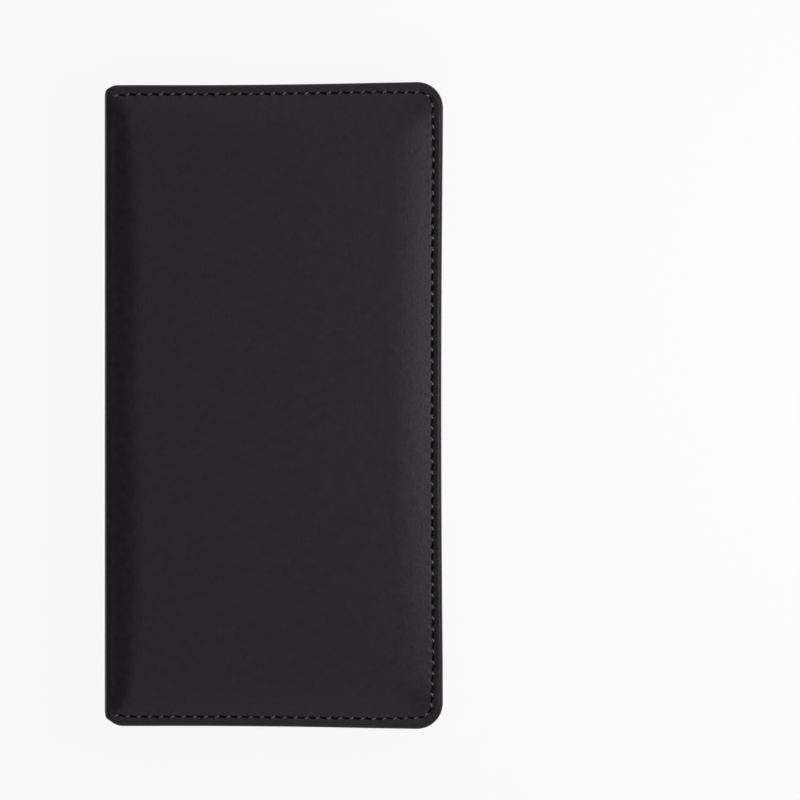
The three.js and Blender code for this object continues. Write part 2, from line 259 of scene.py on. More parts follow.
class Bench:
    """Small jobs at the modelling bench that every piece needs."""

    @staticmethod
    def clear() -> None:
        """Deselects everything."""
        bpy.ops.object.select_all(action="DESELECT")

    @staticmethod
    def pick(piece: bpy.types.Object) -> None:
        """Makes one piece the only selected and active one.

        Args:
            piece: the piece to work on.
        """
        Bench.clear()
        piece.select_set(True)
        bpy.context.view_layer.objects.active = piece

    @staticmethod
    def grid(name: str, columns: int, rows: int) -> bpy.types.Object:
        """Adds a unit grid.

        Args:
            name: name of the piece.
            columns: steps along X.
            rows: steps along Y.

        Returns:
            The grid, from 0 to 1 both ways.
        """
        Bench.clear()
        bpy.ops.mesh.primitive_grid_add(
            x_subdivisions=columns, y_subdivisions=rows, size=1, location=(0.5, 0.5, 0)
        )
        piece = bpy.context.object
        bpy.ops.object.transform_apply(location=True, rotation=True, scale=True)
        piece.name = piece.data.name = name
        return piece

    @staticmethod
    def points(piece: bpy.types.Object) -> np.ndarray:
        """Reads where a piece's vertices are.

        Args:
            piece: the mesh to read.

        Returns:
            Their places, one row each.
        """
        places = np.empty(len(piece.data.vertices) * 3)
        piece.data.vertices.foreach_get("co", places)
        return places.reshape(-1, 3)

    @staticmethod
    def shape(piece: bpy.types.Object, places: np.ndarray) -> None:
        """Moves the piece's vertices to new places, one row each."""
        piece.data.vertices.foreach_set("co", places.ravel())
        piece.data.update()

    @staticmethod
    def weld(piece: bpy.types.Object, flip: bool, reach: float = 0.01 * MM) -> None:
        """Merges vertices that coincide.

        Args:
            piece: the mesh to weld.
            flip: whether the faces are then turned round.
            reach: how close vertices have to be.
        """
        Bench.pick(piece)
        bpy.ops.object.mode_set(mode="EDIT")
        bpy.ops.mesh.select_all(action="SELECT")
        bpy.ops.mesh.remove_doubles(threshold=reach)
        bpy.ops.mesh.dissolve_degenerate(threshold=reach)
        if flip:
            bpy.ops.mesh.select_all(action="SELECT")
            bpy.ops.mesh.flip_normals()
        bpy.ops.object.mode_set(mode="OBJECT")

    @staticmethod
    def face_out(piece: bpy.types.Object) -> None:
        """Turns the faces of a closed piece outwards.

        Args:
            piece: the closed mesh.
        """
        Bench.pick(piece)
        bpy.ops.object.mode_set(mode="EDIT")
        bpy.ops.mesh.select_all(action="SELECT")
        bpy.ops.mesh.normals_make_consistent(inside=False)
        bpy.ops.object.mode_set(mode="OBJECT")

    @staticmethod
    def thicken(piece: bpy.types.Object, thickness: float) -> None:
        """Gives a sheet its thickness, on the side away from its faces.

        Args:
            piece: the sheet.
            thickness: how thick it becomes.
        """
        Bench.pick(piece)
        wall = piece.modifiers.new("thickness", "SOLIDIFY")
        wall.thickness = thickness
        wall.offset = -1
        wall.use_even_offset = False
        bpy.ops.object.modifier_apply(modifier=wall.name)

    @staticmethod
    def smooth(piece: bpy.types.Object, angle: float = 50) -> None:
        """Shades a piece smooth, apart from edges sharper than an angle in degrees."""
        Bench.pick(piece)
        bpy.ops.object.shade_smooth_by_angle(angle=math.radians(angle))

    @staticmethod
    def dress(piece: bpy.types.Object, material: bpy.types.Material, slot: Slot) -> None:
        """Gives a piece its material.

        Args:
            piece: the piece to dress.
            material: its material.
            slot: the slot of the record; not used.
        """
        piece.data.materials.clear()
        piece.data.materials.append(material)


class NodeTable:
    """Lays out and joins the nodes of one material or node group."""

    ramp_stops: tuple[float, float] = (0.2, 0.8)

    def __init__(self, tree: bpy.types.NodeTree) -> None:
        """Starts with an empty tree."""
        self.tree = tree
        self.tree.nodes.clear()

    def add(self, kind: str, settings: dict | None = None, **inputs: object) -> bpy.types.Node:
        """Adds a node.

        Args:
            kind: the node's type, without its ShaderNode prefix.
            settings: properties of the node itself.
            inputs: values or outgoing sockets for its inputs, with _ for each space.

        Returns:
            The new node.
        """
        prefix = "" if kind.startswith("NodeGroup") else "ShaderNode"
        node = self.tree.nodes.new(prefix + kind)
        for name, value in (settings or {}).items():
            setattr(node, name, value)
        for name, value in inputs.items():
            self.feed(node, name.replace("_", " "), value)
        return node

    def feed(self, node: bpy.types.Node, name: str, value: object) -> None:
        """Sets an input, or links it when the value is another node's socket.

        Args:
            node: the node that gets the value.
            name: the input's name, or its number in digits.
            value: a plain value or an outgoing socket.
        """
        socket = node.inputs[int(name)] if name.isdigit() else node.inputs[name]
        if isinstance(value, bpy.types.NodeSocket):
            self.tree.links.new(value, socket)
        else:
            socket.default_value = value

    def math(self, operation: str, *values: object) -> bpy.types.NodeSocket:
        """Adds a Math node.

        Args:
            operation: the node's operation.
            values: plain values or outgoing sockets for its inputs, in order.

        Returns:
            Its result.
        """
        node = self.add("Math", {"operation": operation})
        for index, value in enumerate(values):
            self.feed(node, str(index), value)
        return node.outputs[0]

    def ramp(self, factor: bpy.types.NodeSocket, low: tuple, high: tuple) -> bpy.types.NodeSocket:
        """Adds a ramp between two colours.

        Args:
            factor: the socket that runs along the ramp.
            low: colour at the lower stop.
            high: colour at the upper stop.

        Returns:
            The ramp's colour.
        """
        node = self.add("ValToRGB", Fac=factor)
        for element, place, colour in zip(node.color_ramp.elements, self.ramp_stops, (low, high)):
            element.position = place
            element.color = (*colour, 1)
        return node.outputs["Color"]

    def spread(self, value: bpy.types.NodeSocket, low: float, high: float) -> bpy.types.NodeSocket:
        """Maps a value from 0..1 to a range and returns it."""
        node = self.add("MapRange", Value=value, To_Min=low, To_Max=high)
        return node.outputs["Result"]


class Effects:
    """Node groups that several materials share."""

    streak_stretch: tuple[float, float, float] = (5.0, 1.0, 5.0)
    streak_share: float = 0.35
    mottle_share: float = 0.65
    mottle_height: float = 6.0
    yarn_height: tuple[float, float] = (0.3, 0.8)
    yarn_tone: float = 0.2
    _made: dict[str, bpy.types.ShaderNodeTree] = {}

    @classmethod
    def _group(cls, name: str, inputs: tuple[str, ...]) -> tuple[NodeTable, bpy.types.Node]:
        """Starts a group with plain number inputs and the outputs Height and Tone.

        Args:
            name: the group's name.
            inputs: names of its inputs.

        Returns:
            The table of its nodes, and the node that gives its inputs.
        """
        tree = bpy.data.node_groups.new(name, "ShaderNodeTree")
        for socket in inputs:
            tree.interface.new_socket(socket, in_out="INPUT", socket_type="NodeSocketFloat")
        for socket in ("Height", "Tone"):
            tree.interface.new_socket(socket, in_out="OUTPUT", socket_type="NodeSocketFloat")
        cls._made[name] = tree
        table = NodeTable(tree)
        return table, table.add("NodeGroupInput")

    @classmethod
    def grain(cls) -> bpy.types.ShaderNodeTree:
        """Makes pebbled skin: fine cells with creases between them, and a mottle with faint streaks.

        Returns:
            The group.
        """
        if "leather_grain" in cls._made:
            return cls._made["leather_grain"]
        table, given = cls._group("leather_grain", ("Pebble Scale", "Mottle Scale"))
        place = table.add("TexCoord").outputs["Object"]
        cells = table.add(
            "TexVoronoi",
            {"feature": "SMOOTH_F1"},
            Vector=place,
            Scale=given.outputs["Pebble Scale"],
            Smoothness=0.6,
        )
        pores = table.add(
            "TexNoise", Vector=place, Scale=given.outputs["Pebble Scale"], Detail=3.0, Roughness=0.6
        )
        height = table.math("SUBTRACT", pores.outputs["Fac"], cells.outputs["Distance"])
        mottle = table.add(
            "TexNoise", Vector=place, Scale=given.outputs["Mottle Scale"], Detail=2.5, Roughness=0.5
        )
        stretched = table.add("Mapping", Vector=place, Scale=cls.streak_stretch)
        streaks = table.add(
            "TexNoise",
            Vector=stretched.outputs["Vector"],
            Scale=given.outputs["Mottle Scale"],
            Detail=3.0,
        )
        faint = table.math("MULTIPLY", streaks.outputs["Fac"], cls.streak_share)
        tone = table.math("MULTIPLY_ADD", mottle.outputs["Fac"], cls.mottle_share, faint)
        height = table.math("MULTIPLY_ADD", tone, cls.mottle_height, height)
        table.add("NodeGroupOutput", Height=height, Tone=tone)
        return cls._made["leather_grain"]

    @classmethod
    def weave(cls) -> bpy.types.ShaderNodeTree:
        """Makes a plain weave: two sets of yarns that pass over and under each other.

        Returns:
            The group.
        """
        if "plain_weave" in cls._made:
            return cls._made["plain_weave"]
        table, given = cls._group("plain_weave", ("Yarns per Metre", "Slub Scale"))
        place = table.add("TexCoord").outputs["Object"]
        axes = table.add("SeparateXYZ", Vector=place).outputs
        across = table.math("ADD", axes["X"], axes["Z"])
        turn = table.math("MULTIPLY", given.outputs["Yarns per Metre"], math.pi)
        warp = table.math("SINE", table.math("MULTIPLY", across, turn))
        weft = table.math("SINE", table.math("MULTIPLY", axes["Y"], turn))
        cross = table.math("MULTIPLY", warp, weft)
        slub = table.add("TexNoise", Vector=place, Scale=given.outputs["Slub Scale"], Detail=3.0)
        table.add(
            "NodeGroupOutput",
            Height=table.spread(cross, *cls.yarn_height),
            Tone=table.math("MULTIPLY_ADD", cross, cls.yarn_tone, slub.outputs["Fac"]),
        )
        return cls._made["plain_weave"]


@dataclass(frozen=True)
class SurfaceFinish:
    """A finish whose colour, gloss and relief follow one of the shared effects."""

    name: str
    effect: str
    scales: tuple[float, float]
    dark: tuple[float, float, float]
    light: tuple[float, float, float]
    rough: tuple[float, float]
    relief: float
    relief_depth: float
    specular: float = 0.5
    sheen: float = 0.0

    def material(self) -> bpy.types.Material:
        """Builds the material.

        Returns:
            The material, with a Principled shader fed by the effect.
        """
        made = bpy.data.materials.get(self.name)
        if made:
            return made
        made = bpy.data.materials.new(self.name)
        made.use_nodes = True
        table = NodeTable(made.node_tree)
        group = table.add("Group", {"node_tree": getattr(Effects, self.effect)()})
        group.inputs[0].default_value, group.inputs[1].default_value = self.scales
        bump = table.add(
            "Bump", Strength=self.relief, Distance=self.relief_depth, Height=group.outputs["Height"]
        )
        shader = table.add(
            "BsdfPrincipled",
            Base_Color=table.ramp(group.outputs["Tone"], self.dark, self.light),
            Roughness=table.spread(group.outputs["Tone"], *self.rough),
            Normal=bump.outputs["Normal"],
            Specular_IOR_Level=self.specular,
            Sheen_Weight=self.sheen,
        )
        table.add("OutputMaterial", Surface=shader.outputs["BSDF"])
        return made


@dataclass(frozen=True)
class FilmFinish:
    """Clear glossy vinyl with faint ripples."""

    name: str = "clear_vinyl"
    tint: tuple[float, float, float] = (0.77, 0.8, 0.82)
    opacity: tuple[float, float] = (0.05, 0.13)
    rough: tuple[float, float] = (0.05, 0.14)
    ripple_scale: float = 45.0
    ripple: float = 0.4
    ripple_depth: float = 0.8 * MM
    specular: float = 1.0

    def material(self) -> bpy.types.Material:
        """Builds the material.

        Returns:
            The material, a thin glossy coat that is nearly see-through.
        """
        made = bpy.data.materials.get(self.name) or bpy.data.materials.new(self.name)
        made.use_nodes = True
        table = NodeTable(made.node_tree)
        place = table.add("TexCoord").outputs["Object"]
        ripple = table.add("TexNoise", Vector=place, Scale=self.ripple_scale, Detail=1.0)
        bump = table.add(
            "Bump", Strength=self.ripple, Distance=self.ripple_depth, Height=ripple.outputs["Fac"]
        )
        shader = table.add(
            "BsdfPrincipled",
            Base_Color=(*self.tint, 1),
            Roughness=table.spread(ripple.outputs["Fac"], *self.rough),
            Alpha=table.spread(ripple.outputs["Fac"], *self.opacity),
            Normal=bump.outputs["Normal"],
            Specular_IOR_Level=self.specular,
        )
        table.add("OutputMaterial", Surface=shader.outputs["BSDF"])
        return made


class Finishes:
    """The wallet's finishes."""

    COVER = SurfaceFinish(
        name="cover_leatherette",
        effect="grain",
        scales=(2000, 360),
        dark=(0.0062, 0.0034, 0.0062),
        light=(0.0183, 0.0138, 0.0183),
        rough=(0.35, 0.49),
        relief=0.35,
        relief_depth=0.06 * MM,
        specular=0.25,
    )
    POCKET = SurfaceFinish(
        name="pocket_leatherette",
        effect="grain",
        scales=(1900, 80),
        dark=(0.0115, 0.0105, 0.0115),
        light=(0.019, 0.0175, 0.019),
        rough=(0.42, 0.54),
        relief=0.35,
        relief_depth=0.08 * MM,
        specular=0.32,
    )
    LINING = SurfaceFinish(
        name="woven_lining",
        effect="weave",
        scales=(2600, 260),
        dark=(0.009, 0.009, 0.0105),
        light=(0.021, 0.021, 0.024),
        rough=(0.62, 0.8),
        relief=0.6,
        relief_depth=0.1 * MM,
        specular=0.35,
        sheen=0.15,
    )
    THREAD = SurfaceFinish(
        name="black_thread",
        effect="weave",
        scales=(4200, 900),
        dark=(0.024, 0.022, 0.024),
        light=(0.08, 0.076, 0.08),
        rough=(0.16, 0.3),
        relief=0.7,
        relief_depth=0.08 * MM,
        specular=0.9,
    )
    FOAM = SurfaceFinish(
        name="sponge_padding",
        effect="grain",
        scales=(900, 120),
        dark=(0.07, 0.07, 0.078),
        light=(0.115, 0.115, 0.125),
        rough=(0.85, 0.97),
        relief=0.8,
        relief_depth=0.4 * MM,
        specular=0.2,
    )
    BOARD = SurfaceFinish(
        name="bookbinding_board",
        effect="grain",
        scales=(1500, 300),
        dark=(0.21, 0.19, 0.16),
        light=(0.31, 0.285, 0.245),
        rough=(0.8, 0.95),
        relief=0.3,
        relief_depth=0.08 * MM,
        specular=0.25,
    )
    FILM = FilmFinish()


@dataclass
class StitchRow:
    """A row of sewn stitches, each a short bowed length of thread that dives in at both ends."""

    name: str
    thread: float = 0.62 * MM
    visible: float = 1.9 * MM
    rise: float = 0.14 * MM
    dive: float = 0.5 * MM
    dive_power: int = 6
    thinning: float = 0.75
    thinning_power: int = 8
    cuts: int = 4
    sides: int = 6

    def stitch(self) -> bpy.types.Object:
        """Models one stitch along X.

        Returns:
            A short thread that bows up in the middle and thins and dives in at both ends.
        """
        Bench.clear()
        bpy.ops.mesh.primitive_cylinder_add(
            vertices=self.sides,
            radius=self.thread / 2,
            depth=self.visible,
            rotation=(0, math.pi / 2, 0),
        )
        piece = bpy.context.object
        bpy.ops.object.transform_apply(location=True, rotation=True, scale=True)
        bpy.ops.object.mode_set(mode="EDIT")
        for cut in range(1, self.cuts + 1):
            bpy.ops.mesh.select_all(action="SELECT")
            place = (cut / (self.cuts + 1) - 0.5) * self.visible
            bpy.ops.mesh.bisect(plane_co=(place, 0, 0), plane_no=(1, 0, 0))
        bpy.ops.object.mode_set(mode="OBJECT")
        places = Bench.points(piece)
        along = places[:, 0] / (self.visible / 2)
        places[:, 1:] *= np.sqrt(1 - self.thinning * along**self.thinning_power)[:, None]
        places[:, 2] += self.rise * (1 - along**2) - self.dive * along**self.dive_power
        Bench.shape(piece, places)
        return piece

    def model(self, places: np.ndarray, ahead: np.ndarray, up: np.ndarray) -> bpy.types.Object:
        """Sets a copy of the stitch at each place.

        Args:
            places: middle of each stitch, on the sewn surface.
            ahead: unit direction of each stitch.
            up: unit direction out of the surface at each stitch.

        Returns:
            The row as one mesh of separate closed stitches.
        """
        pattern = self.stitch()
        shape = Bench.points(pattern)
        sides = [tuple(face.vertices) for face in pattern.data.polygons]
        bpy.data.meshes.remove(pattern.data)
        axes = np.stack([ahead, np.cross(up, ahead), up], axis=1)
        copies = places[:, None, :] + np.einsum("vk,nkc->nvc", shape, axes)
        firsts = range(0, len(places) * len(shape), len(shape))
        faces = [[first + corner for corner in side] for first in firsts for side in sides]
        mesh = bpy.data.meshes.new(self.name)
        mesh.from_pydata(copies.reshape(-1, 3).tolist(), [], faces)
        piece = bpy.data.objects.new(self.name, mesh)
        bpy.context.collection.objects.link(piece)
        Bench.smooth(piece, angle=60)
        Bench.dress(piece, Finishes.THREAD.material(), Slot.THREAD)
        return piece


@dataclass
class Cover:
    """One padded cover: its leather skin with half of the spine, and the thread sewn round it.

    Rings of the channel and the slope are given in millimetres past the stitch line, and those of the
    middle in millimetres from the edge.
    """

    side: Side
    sizes: WalletSizes = field(default_factory=WalletSizes)
    columns: int = 1020
    turn_steps: int = 7
    wall_steps: int = 6
    pit_depth: float = 0.95 * MM
    pit_reach: float = 0.25 * MM
    bridge: float = 0.12
    pit_power: float = 0.7
    pucker: float = 0.07 * MM
    pucker_inset: float = 1.1 * MM
    pucker_reach: float = 0.7 * MM
    thread_run: float = 1.4 * MM
    thread_slant: float = 0.75 * MM
    channel: tuple[float, ...] = (
        -0.5, -0.36, -0.24, -0.13, -0.03, 0.07, 0.17, 0.28, 0.4, 0.6, 0.85, 1.15
    )
    slope: tuple[float, ...] = (1.6, 2.2, 3, 4, 5.2, 6.6, 8.2, 10, 12, 14.5)
    middle: tuple[float, ...] = (26, 45, 75)
    hem_rings: int = 3
    hem_from: float = 1.2
    roll_rings: int = 9
    border_rings: int = 3
    border_from: float = 1.01
    border_sink_power: int = 6
    end_from: float = 0.86
    end_run: float = 0.12

    def __post_init__(self) -> None:
        """Lays the rings that the skin and its stitches follow."""
        self.rings = EdgeRings(self.sizes, self.sizes.crease_x)

    @property
    def stitch_count(self) -> int:
        """Whole stitches that fit on the stitch line."""
        s = self.sizes
        return round((self.rings.total - 2 * s.first_stitch) / s.stitch_pitch)

    def stations(self) -> tuple[np.ndarray, np.ndarray, np.ndarray]:
        """Lists the rings of the skin, from the inner edge of its turned hem to the middle.

        Returns:
            Each ring's inset, its depth under the crown, and whether the crown lifts it.
        """
        s = self.sizes
        under = s.border_depth + 2 * s.edge_roll
        hem_line = np.linspace(s.hem_width, s.edge_roll * self.hem_from, self.hem_rings)
        hem = [(a, under) for a in hem_line]
        roll = [
            (s.edge_roll * (1 - math.sin(t)), s.border_depth + s.edge_roll * (1 - math.cos(t)))
            for t in np.linspace(math.pi, 0, self.roll_rings)
        ]
        foot = s.stitch_inset + self.channel[0] * MM
        border = [
            (a, s.border_depth + s.channel_depth * (a - s.edge_roll) / (foot - s.edge_roll))
            for a in np.linspace(s.edge_roll, foot, self.border_rings + 2)[1:-1]
        ]
        channel = s.stitch_inset + np.array(self.channel) * MM
        slope = s.stitch_inset + np.array(self.slope) * MM
        middle = np.append(np.array(self.middle) * MM, s.length / 2)
        fixed = hem + roll + border
        lifted = [(a, s.foot_depth) for a in np.concatenate([channel, slope, middle])]
        rows = np.array(fixed + lifted)
        return rows[:, 0], rows[:, 1], np.arange(len(rows)) >= len(fixed)

    def crown(self, x: np.ndarray, y: np.ndarray) -> np.ndarray:
        """Gives the height of the padding over the sewn channel.

        Args:
            x: place across the wallet.
            y: place along the wallet.

        Returns:
            The height, nothing at the channel and the crease and the full crown in the middle.
        """
        s = self.sizes
        fore = np.clip(1 - (s.width / 2 - x - s.stitch_inset) / s.crown_run, 0, 1)
        end = np.clip(1 - (s.length / 2 - np.abs(y) - s.stitch_inset) / s.crown_run, 0, 1)
        fall = np.clip((fore**s.corner_power + end**s.corner_power) ** (1 / s.corner_power), 0, 1)
        near = np.clip(1 - (s.length / 2 - np.abs(y)) / s.spine_fade, 0, 1)
        run = s.spine_run + (s.spine_run_end - s.spine_run) * near
        crease = np.clip(1 - (x - s.crease_x) / run, 0, 1)
        return s.foot_depth * (1 - fall**s.crown_power) * (1 - crease**2)

    def stitch_phase(self, share: np.ndarray) -> tuple[np.ndarray, np.ndarray]:
        """Finds where a place lies in its stitch.

        Args:
            share: place along the stitch line.

        Returns:
            The place within its stitch, 0 to 1, and whether a stitch is there.
        """
        s = self.sizes
        pitch = (self.rings.total - 2 * s.first_stitch) / self.stitch_count
        count = (share * self.rings.total - s.first_stitch) / pitch
        return count % 1, (count >= 0) & (count <= self.stitch_count)

    def sewn_relief(self, inset: np.ndarray, share: np.ndarray) -> np.ndarray:
        """Gives the depth of the pits that the stitches pull into the skin.

        Args:
            inset: distance from the edge.
            share: place along the stitch line.

        Returns:
            The depth of the pits, less the puckers beside them.
        """
        s = self.sizes
        phase, sewn = self.stitch_phase(share)
        line = s.stitch_inset + s.stitch_slant * (0.5 - phase)
        within = np.clip((phase - self.bridge) / (1 - 2 * self.bridge), 0, 1)
        swell = np.sin(np.pi * within) ** self.pit_power
        pit = np.exp(-(((inset - line) / self.pit_reach) ** 2)) * swell
        away = (inset - s.stitch_inset - self.pucker_inset) / self.pucker_reach
        beside = np.exp(-(away**2)) * (1 - swell)
        return sewn * (self.pit_depth * pit - self.pucker * beside)

    def spine_turn(self) -> tuple[np.ndarray, np.ndarray, np.ndarray, np.ndarray]:
        """Walks the outside of the skin from the crease to the middle of the spine.

        Returns:
            Places across, depths, and the inward direction's two parts at each step.
        """
        s = self.sizes
        turn = np.linspace(0, math.pi / 2, self.turn_steps + 1)[1:]
        straight = np.linspace(0, 1, self.wall_steps + 1)[1:]
        round_x = s.crease_x - s.turn_radius * np.sin(turn)
        round_u = s.foot_depth + s.turn_radius * (1 - np.cos(turn))
        wall_top = s.foot_depth + s.turn_radius
        wall_u = wall_top + straight * (s.thickness / 2 - wall_top)
        wall_x = round_x[-1] - s.spine_bulge * np.sin(straight * math.pi / 2)
        inward_x = np.concatenate([np.sin(turn), np.ones_like(straight)])
        inward_u = np.concatenate([np.cos(turn), np.zeros_like(straight)])
        return np.concatenate([round_x, wall_x]), np.concatenate([round_u, wall_u]), inward_x, inward_u

    def spine_steps(self, column: np.ndarray) -> tuple[np.ndarray, np.ndarray]:
        """Counts the grid's columns that lie past the crease.

        Args:
            column: the columns, from 0 to the cover's own number of them, and past both on the spine.

        Returns:
            Each column's step past the crease, from 0, and whether it is past it.
        """
        last = self.turn_steps + self.wall_steps - 1
        beyond = np.clip(np.maximum(-column, column - self.columns) - 1, 0, last)
        return beyond, (column < 0) | (column > self.columns)

    def lead_round_spine(
        self, x: np.ndarray, depth: np.ndarray, folded: np.ndarray, column: np.ndarray
    ) -> tuple[np.ndarray, np.ndarray]:
        """Leads the skin from the crease round to the middle of the spine.

        Args:
            x: places across the wallet.
            depth: depths under the crown.
            folded: how far the turned hem lies under the outside of the skin.
            column: the grid's column of each place.

        Returns:
            The places across and the depths.
        """
        s = self.sizes
        spine_x, spine_u, inward_x, inward_u = self.spine_turn()
        beyond, on_spine = self.spine_steps(column)
        wall_x = s.crease_x - s.turn_radius
        tight = folded > s.turn_radius
        in_turn = tight & (beyond < self.turn_steps)
        x = np.where(tight, np.maximum(x, wall_x + folded), x)
        swung_x = spine_x[beyond] + inward_x[beyond] * folded
        swung_u = spine_u[beyond] + inward_u[beyond] * folded
        swung_x = np.where(in_turn, wall_x + folded, swung_x)
        swung_u = np.where(in_turn, s.foot_depth + folded, swung_u)
        swung_u = np.where(tight, np.maximum(swung_u, s.foot_depth + folded), swung_u)
        return np.where(on_spine, swung_x, x), np.where(on_spine, swung_u, depth)

    def round_spine_ends(
        self, x: np.ndarray, y: np.ndarray, inset: np.ndarray, column: np.ndarray
    ) -> tuple[np.ndarray, np.ndarray]:
        """Draws the sides in and rounds both ends of the spine.

        Args:
            x: places across the wallet.
            y: places along the wallet.
            inset: distances from the edge.
            column: the grid's column of each place.

        Returns:
            The places across and along.
        """
        s = self.sizes
        spine_x, _, inward_x, _ = self.spine_turn()
        beyond, on_spine = self.spine_steps(column)
        turned = np.where(on_spine, np.clip((beyond + 1) / self.turn_steps, 0, 1), 0)
        y = y - np.sign(y) * turned * np.minimum(inset, s.edge_roll)
        x, y = s.draw_in(x, y)
        nose = s.border_depth + s.edge_roll - s.foot_depth
        outside = np.where(on_spine, spine_x[beyond] + inward_x[beyond] * nose, x)
        corner = np.where(y > 0, s.upper_spine_corner, s.lower_spine_corner)
        edge = np.clip((outside + s.width / 2) / corner, 0, 1)
        cut = corner * (1 - np.sqrt(1 - (1 - edge) ** 2))
        fade = np.clip((np.abs(y) / (s.length / 2) - self.end_from) / self.end_run, 0, 1)
        return x, y - np.sign(y) * cut * fade * fade * (3 - 2 * fade)

    def skin_points(self, unit: np.ndarray) -> np.ndarray:
        """Turns the unit grid into the skin.

        Args:
            unit: the grid's points, from 0 to 1 both ways.

        Returns:
            The skin's points in the wallet's frame.
        """
        s = self.sizes
        insets, depths, lifted = self.stations()
        steps = self.turn_steps + self.wall_steps
        column = np.rint(unit[:, 0] * (self.columns + 2 * steps)).astype(int) - steps
        station = np.rint(unit[:, 1] * (len(insets) - 1)).astype(int)
        inset, depth, raised = insets[station], depths[station], lifted[station]
        share = np.clip(column / self.columns, 0, 1)
        x, y = self.rings.places(inset, share)
        crease = np.clip((x - s.crease_x) / s.spine_run, 0, 1)
        border = ~raised & (inset > s.edge_roll * self.border_from) & (depth < s.foot_depth)
        sunk = depth + (s.foot_depth - depth) * (1 - crease) ** self.border_sink_power
        depth = np.where(border, sunk, depth)
        depth = np.where(raised, depth - self.crown(x, y), depth)
        depth = depth + np.where(raised | border, self.sewn_relief(inset, share), 0)
        folded = np.maximum(depth - s.foot_depth, 0) * ~(raised | border)
        x, depth = self.lead_round_spine(x, depth, folded, column)
        x, y = self.round_spine_ends(x, y, inset, column)
        return np.stack([x, y, s.height(depth, self.side)], axis=1)

    def build_skin(self) -> bpy.types.Object:
        """Models the leather of the cover, its turned edges and its half of the spine.

        Returns:
            The skin.
        """
        insets, _, _ = self.stations()
        across = self.columns + 2 * (self.turn_steps + self.wall_steps)
        piece = Bench.grid(f"{self.side.value}_leather", across, len(insets) - 1)
        Bench.shape(piece, self.skin_points(Bench.points(piece)))
        Bench.weld(piece, self.side is Side.BACK)
        Bench.thicken(piece, self.sizes.skin)
        Bench.smooth(piece)
        Bench.dress(piece, Finishes.COVER.material(), Slot.LEATHER)
        self.bend_at_crease(piece)
        return piece

    def bend_at_crease(self, piece: bpy.types.Object) -> None:
        """Bakes a piece's placement into its mesh.

        Args:
            piece: the finished mesh.
        """
        s = self.sizes
        crease = Vector((s.crease_x, 0, s.height(s.foot_depth, self.side)))
        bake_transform(piece)

    def seam_marks(
        self, phase: float, run: float, slant: float = 0.0, dipped: bool = True
    ) -> tuple[np.ndarray, np.ndarray]:
        """Marks the stitches along the seam.

        Args:
            phase: place within each pitch where a stitch has its middle.
            run: length of a stitch along the seam.
            slant: how much further from the edge a stitch ends than it starts.
            dipped: whether the seam is drawn in at the fore corners.

        Returns:
            The middle of each stitch in plan, and each stitch's unit direction.
        """
        s = self.sizes
        pitch = (self.rings.total - 2 * s.first_stitch) / self.stitch_count
        count = self.stitch_count if phase else self.stitch_count + 1
        middle = s.first_stitch + pitch * (np.arange(count) + phase)
        ends = []
        for step in (-0.5, 0.5):
            share = (middle + step * run) / self.rings.total
            inset = np.full_like(share, s.stitch_inset + slant * step)
            ends.append(np.stack(s.draw_in(*self.rings.places(inset, share, dipped)), axis=1))
        ahead = np.zeros((len(middle), 3))
        ahead[:, :2] = ends[1] - ends[0]
        ahead /= np.linalg.norm(ahead, axis=1, keepdims=True)
        return (ends[0] + ends[1]) / 2, ahead

    def build_stitches(self) -> bpy.types.Object:
        """Sews the three open edges.

        Returns:
            The row of stitches in its pits.
        """
        s = self.sizes
        flat, ahead = self.seam_marks(0, self.thread_run, self.thread_slant)
        up = np.zeros_like(ahead)
        up[:, 2] = 1 if self.side is Side.FRONT else -1
        places = np.column_stack([flat, np.full(len(flat), s.height(s.foot_depth, self.side))])
        piece = StitchRow(f"{self.side.value}_stitching").model(places, ahead, up)
        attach(piece, self.side.value)
        return piece

    def build(self) -> list[bpy.types.Object]:
        """Builds the cover.

        Returns:
            Its pieces.
        """
        skin = self.build_skin()
        nodes = ["front_cover_skin", "spine_skin"] if self.side is Side.FRONT else ["back_cover_skin"]
        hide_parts(*nodes)
        return [skin, self.build_stitches()]


@dataclass
class Foam:
    """The padding of one cover: flat on its board and crowned under the skin.

    Rings under it are given in millimetres from the cover's edge, and those of the slope from its own.
    """

    cover: Cover
    start: float = -55.8 * MM
    edge: float = 4.7 * MM
    clearance: float = 0.15 * MM
    least: float = 0.1 * MM
    columns: int = 160
    under: tuple[float, ...] = (60, 20)
    slope: tuple[float, ...] = (0.3, 1, 2, 3.5, 5.5, 8, 11, 15, 30, 60)

    def build(self) -> bpy.types.Object:
        """Models the pad.

        Returns:
            The pad.
        """
        s = self.cover.sizes
        side = self.cover.side
        node = f"{side.value}_foam"
        low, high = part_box(node)
        base = s.thickness - low.z if side is Side.FRONT else high.z
        under = [s.length / 2, *(np.array(self.under) * MM), self.edge]
        over = self.edge + np.array(self.slope) * MM
        insets = np.concatenate([under, over, [s.length / 2]])
        piece = Bench.grid(f"{side.value}_padding", self.columns, len(insets) - 1)
        unit = Bench.points(piece)
        station = np.rint(unit[:, 1] * (len(insets) - 1)).astype(int)
        x, y = EdgeRings(s, self.start).places(insets[station], unit[:, 0])
        top = s.foot_depth - self.cover.crown(x, y) + s.skin + self.clearance
        closed = (station < len(under)) | (unit[:, 0] < 1e-6) | (unit[:, 0] > 1 - 1e-6)
        depth = np.where(closed, base, np.minimum(top, base - self.least))
        x, y = s.draw_in(x, y)
        Bench.shape(piece, np.stack([x, y, s.height(depth, side)], axis=1))
        Bench.weld(piece, side is Side.BACK)
        Bench.smooth(piece)
        Bench.dress(piece, Finishes.FOAM.material(), Slot.PADDING)
        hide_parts(node)
        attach(piece, side.value)
        return piece


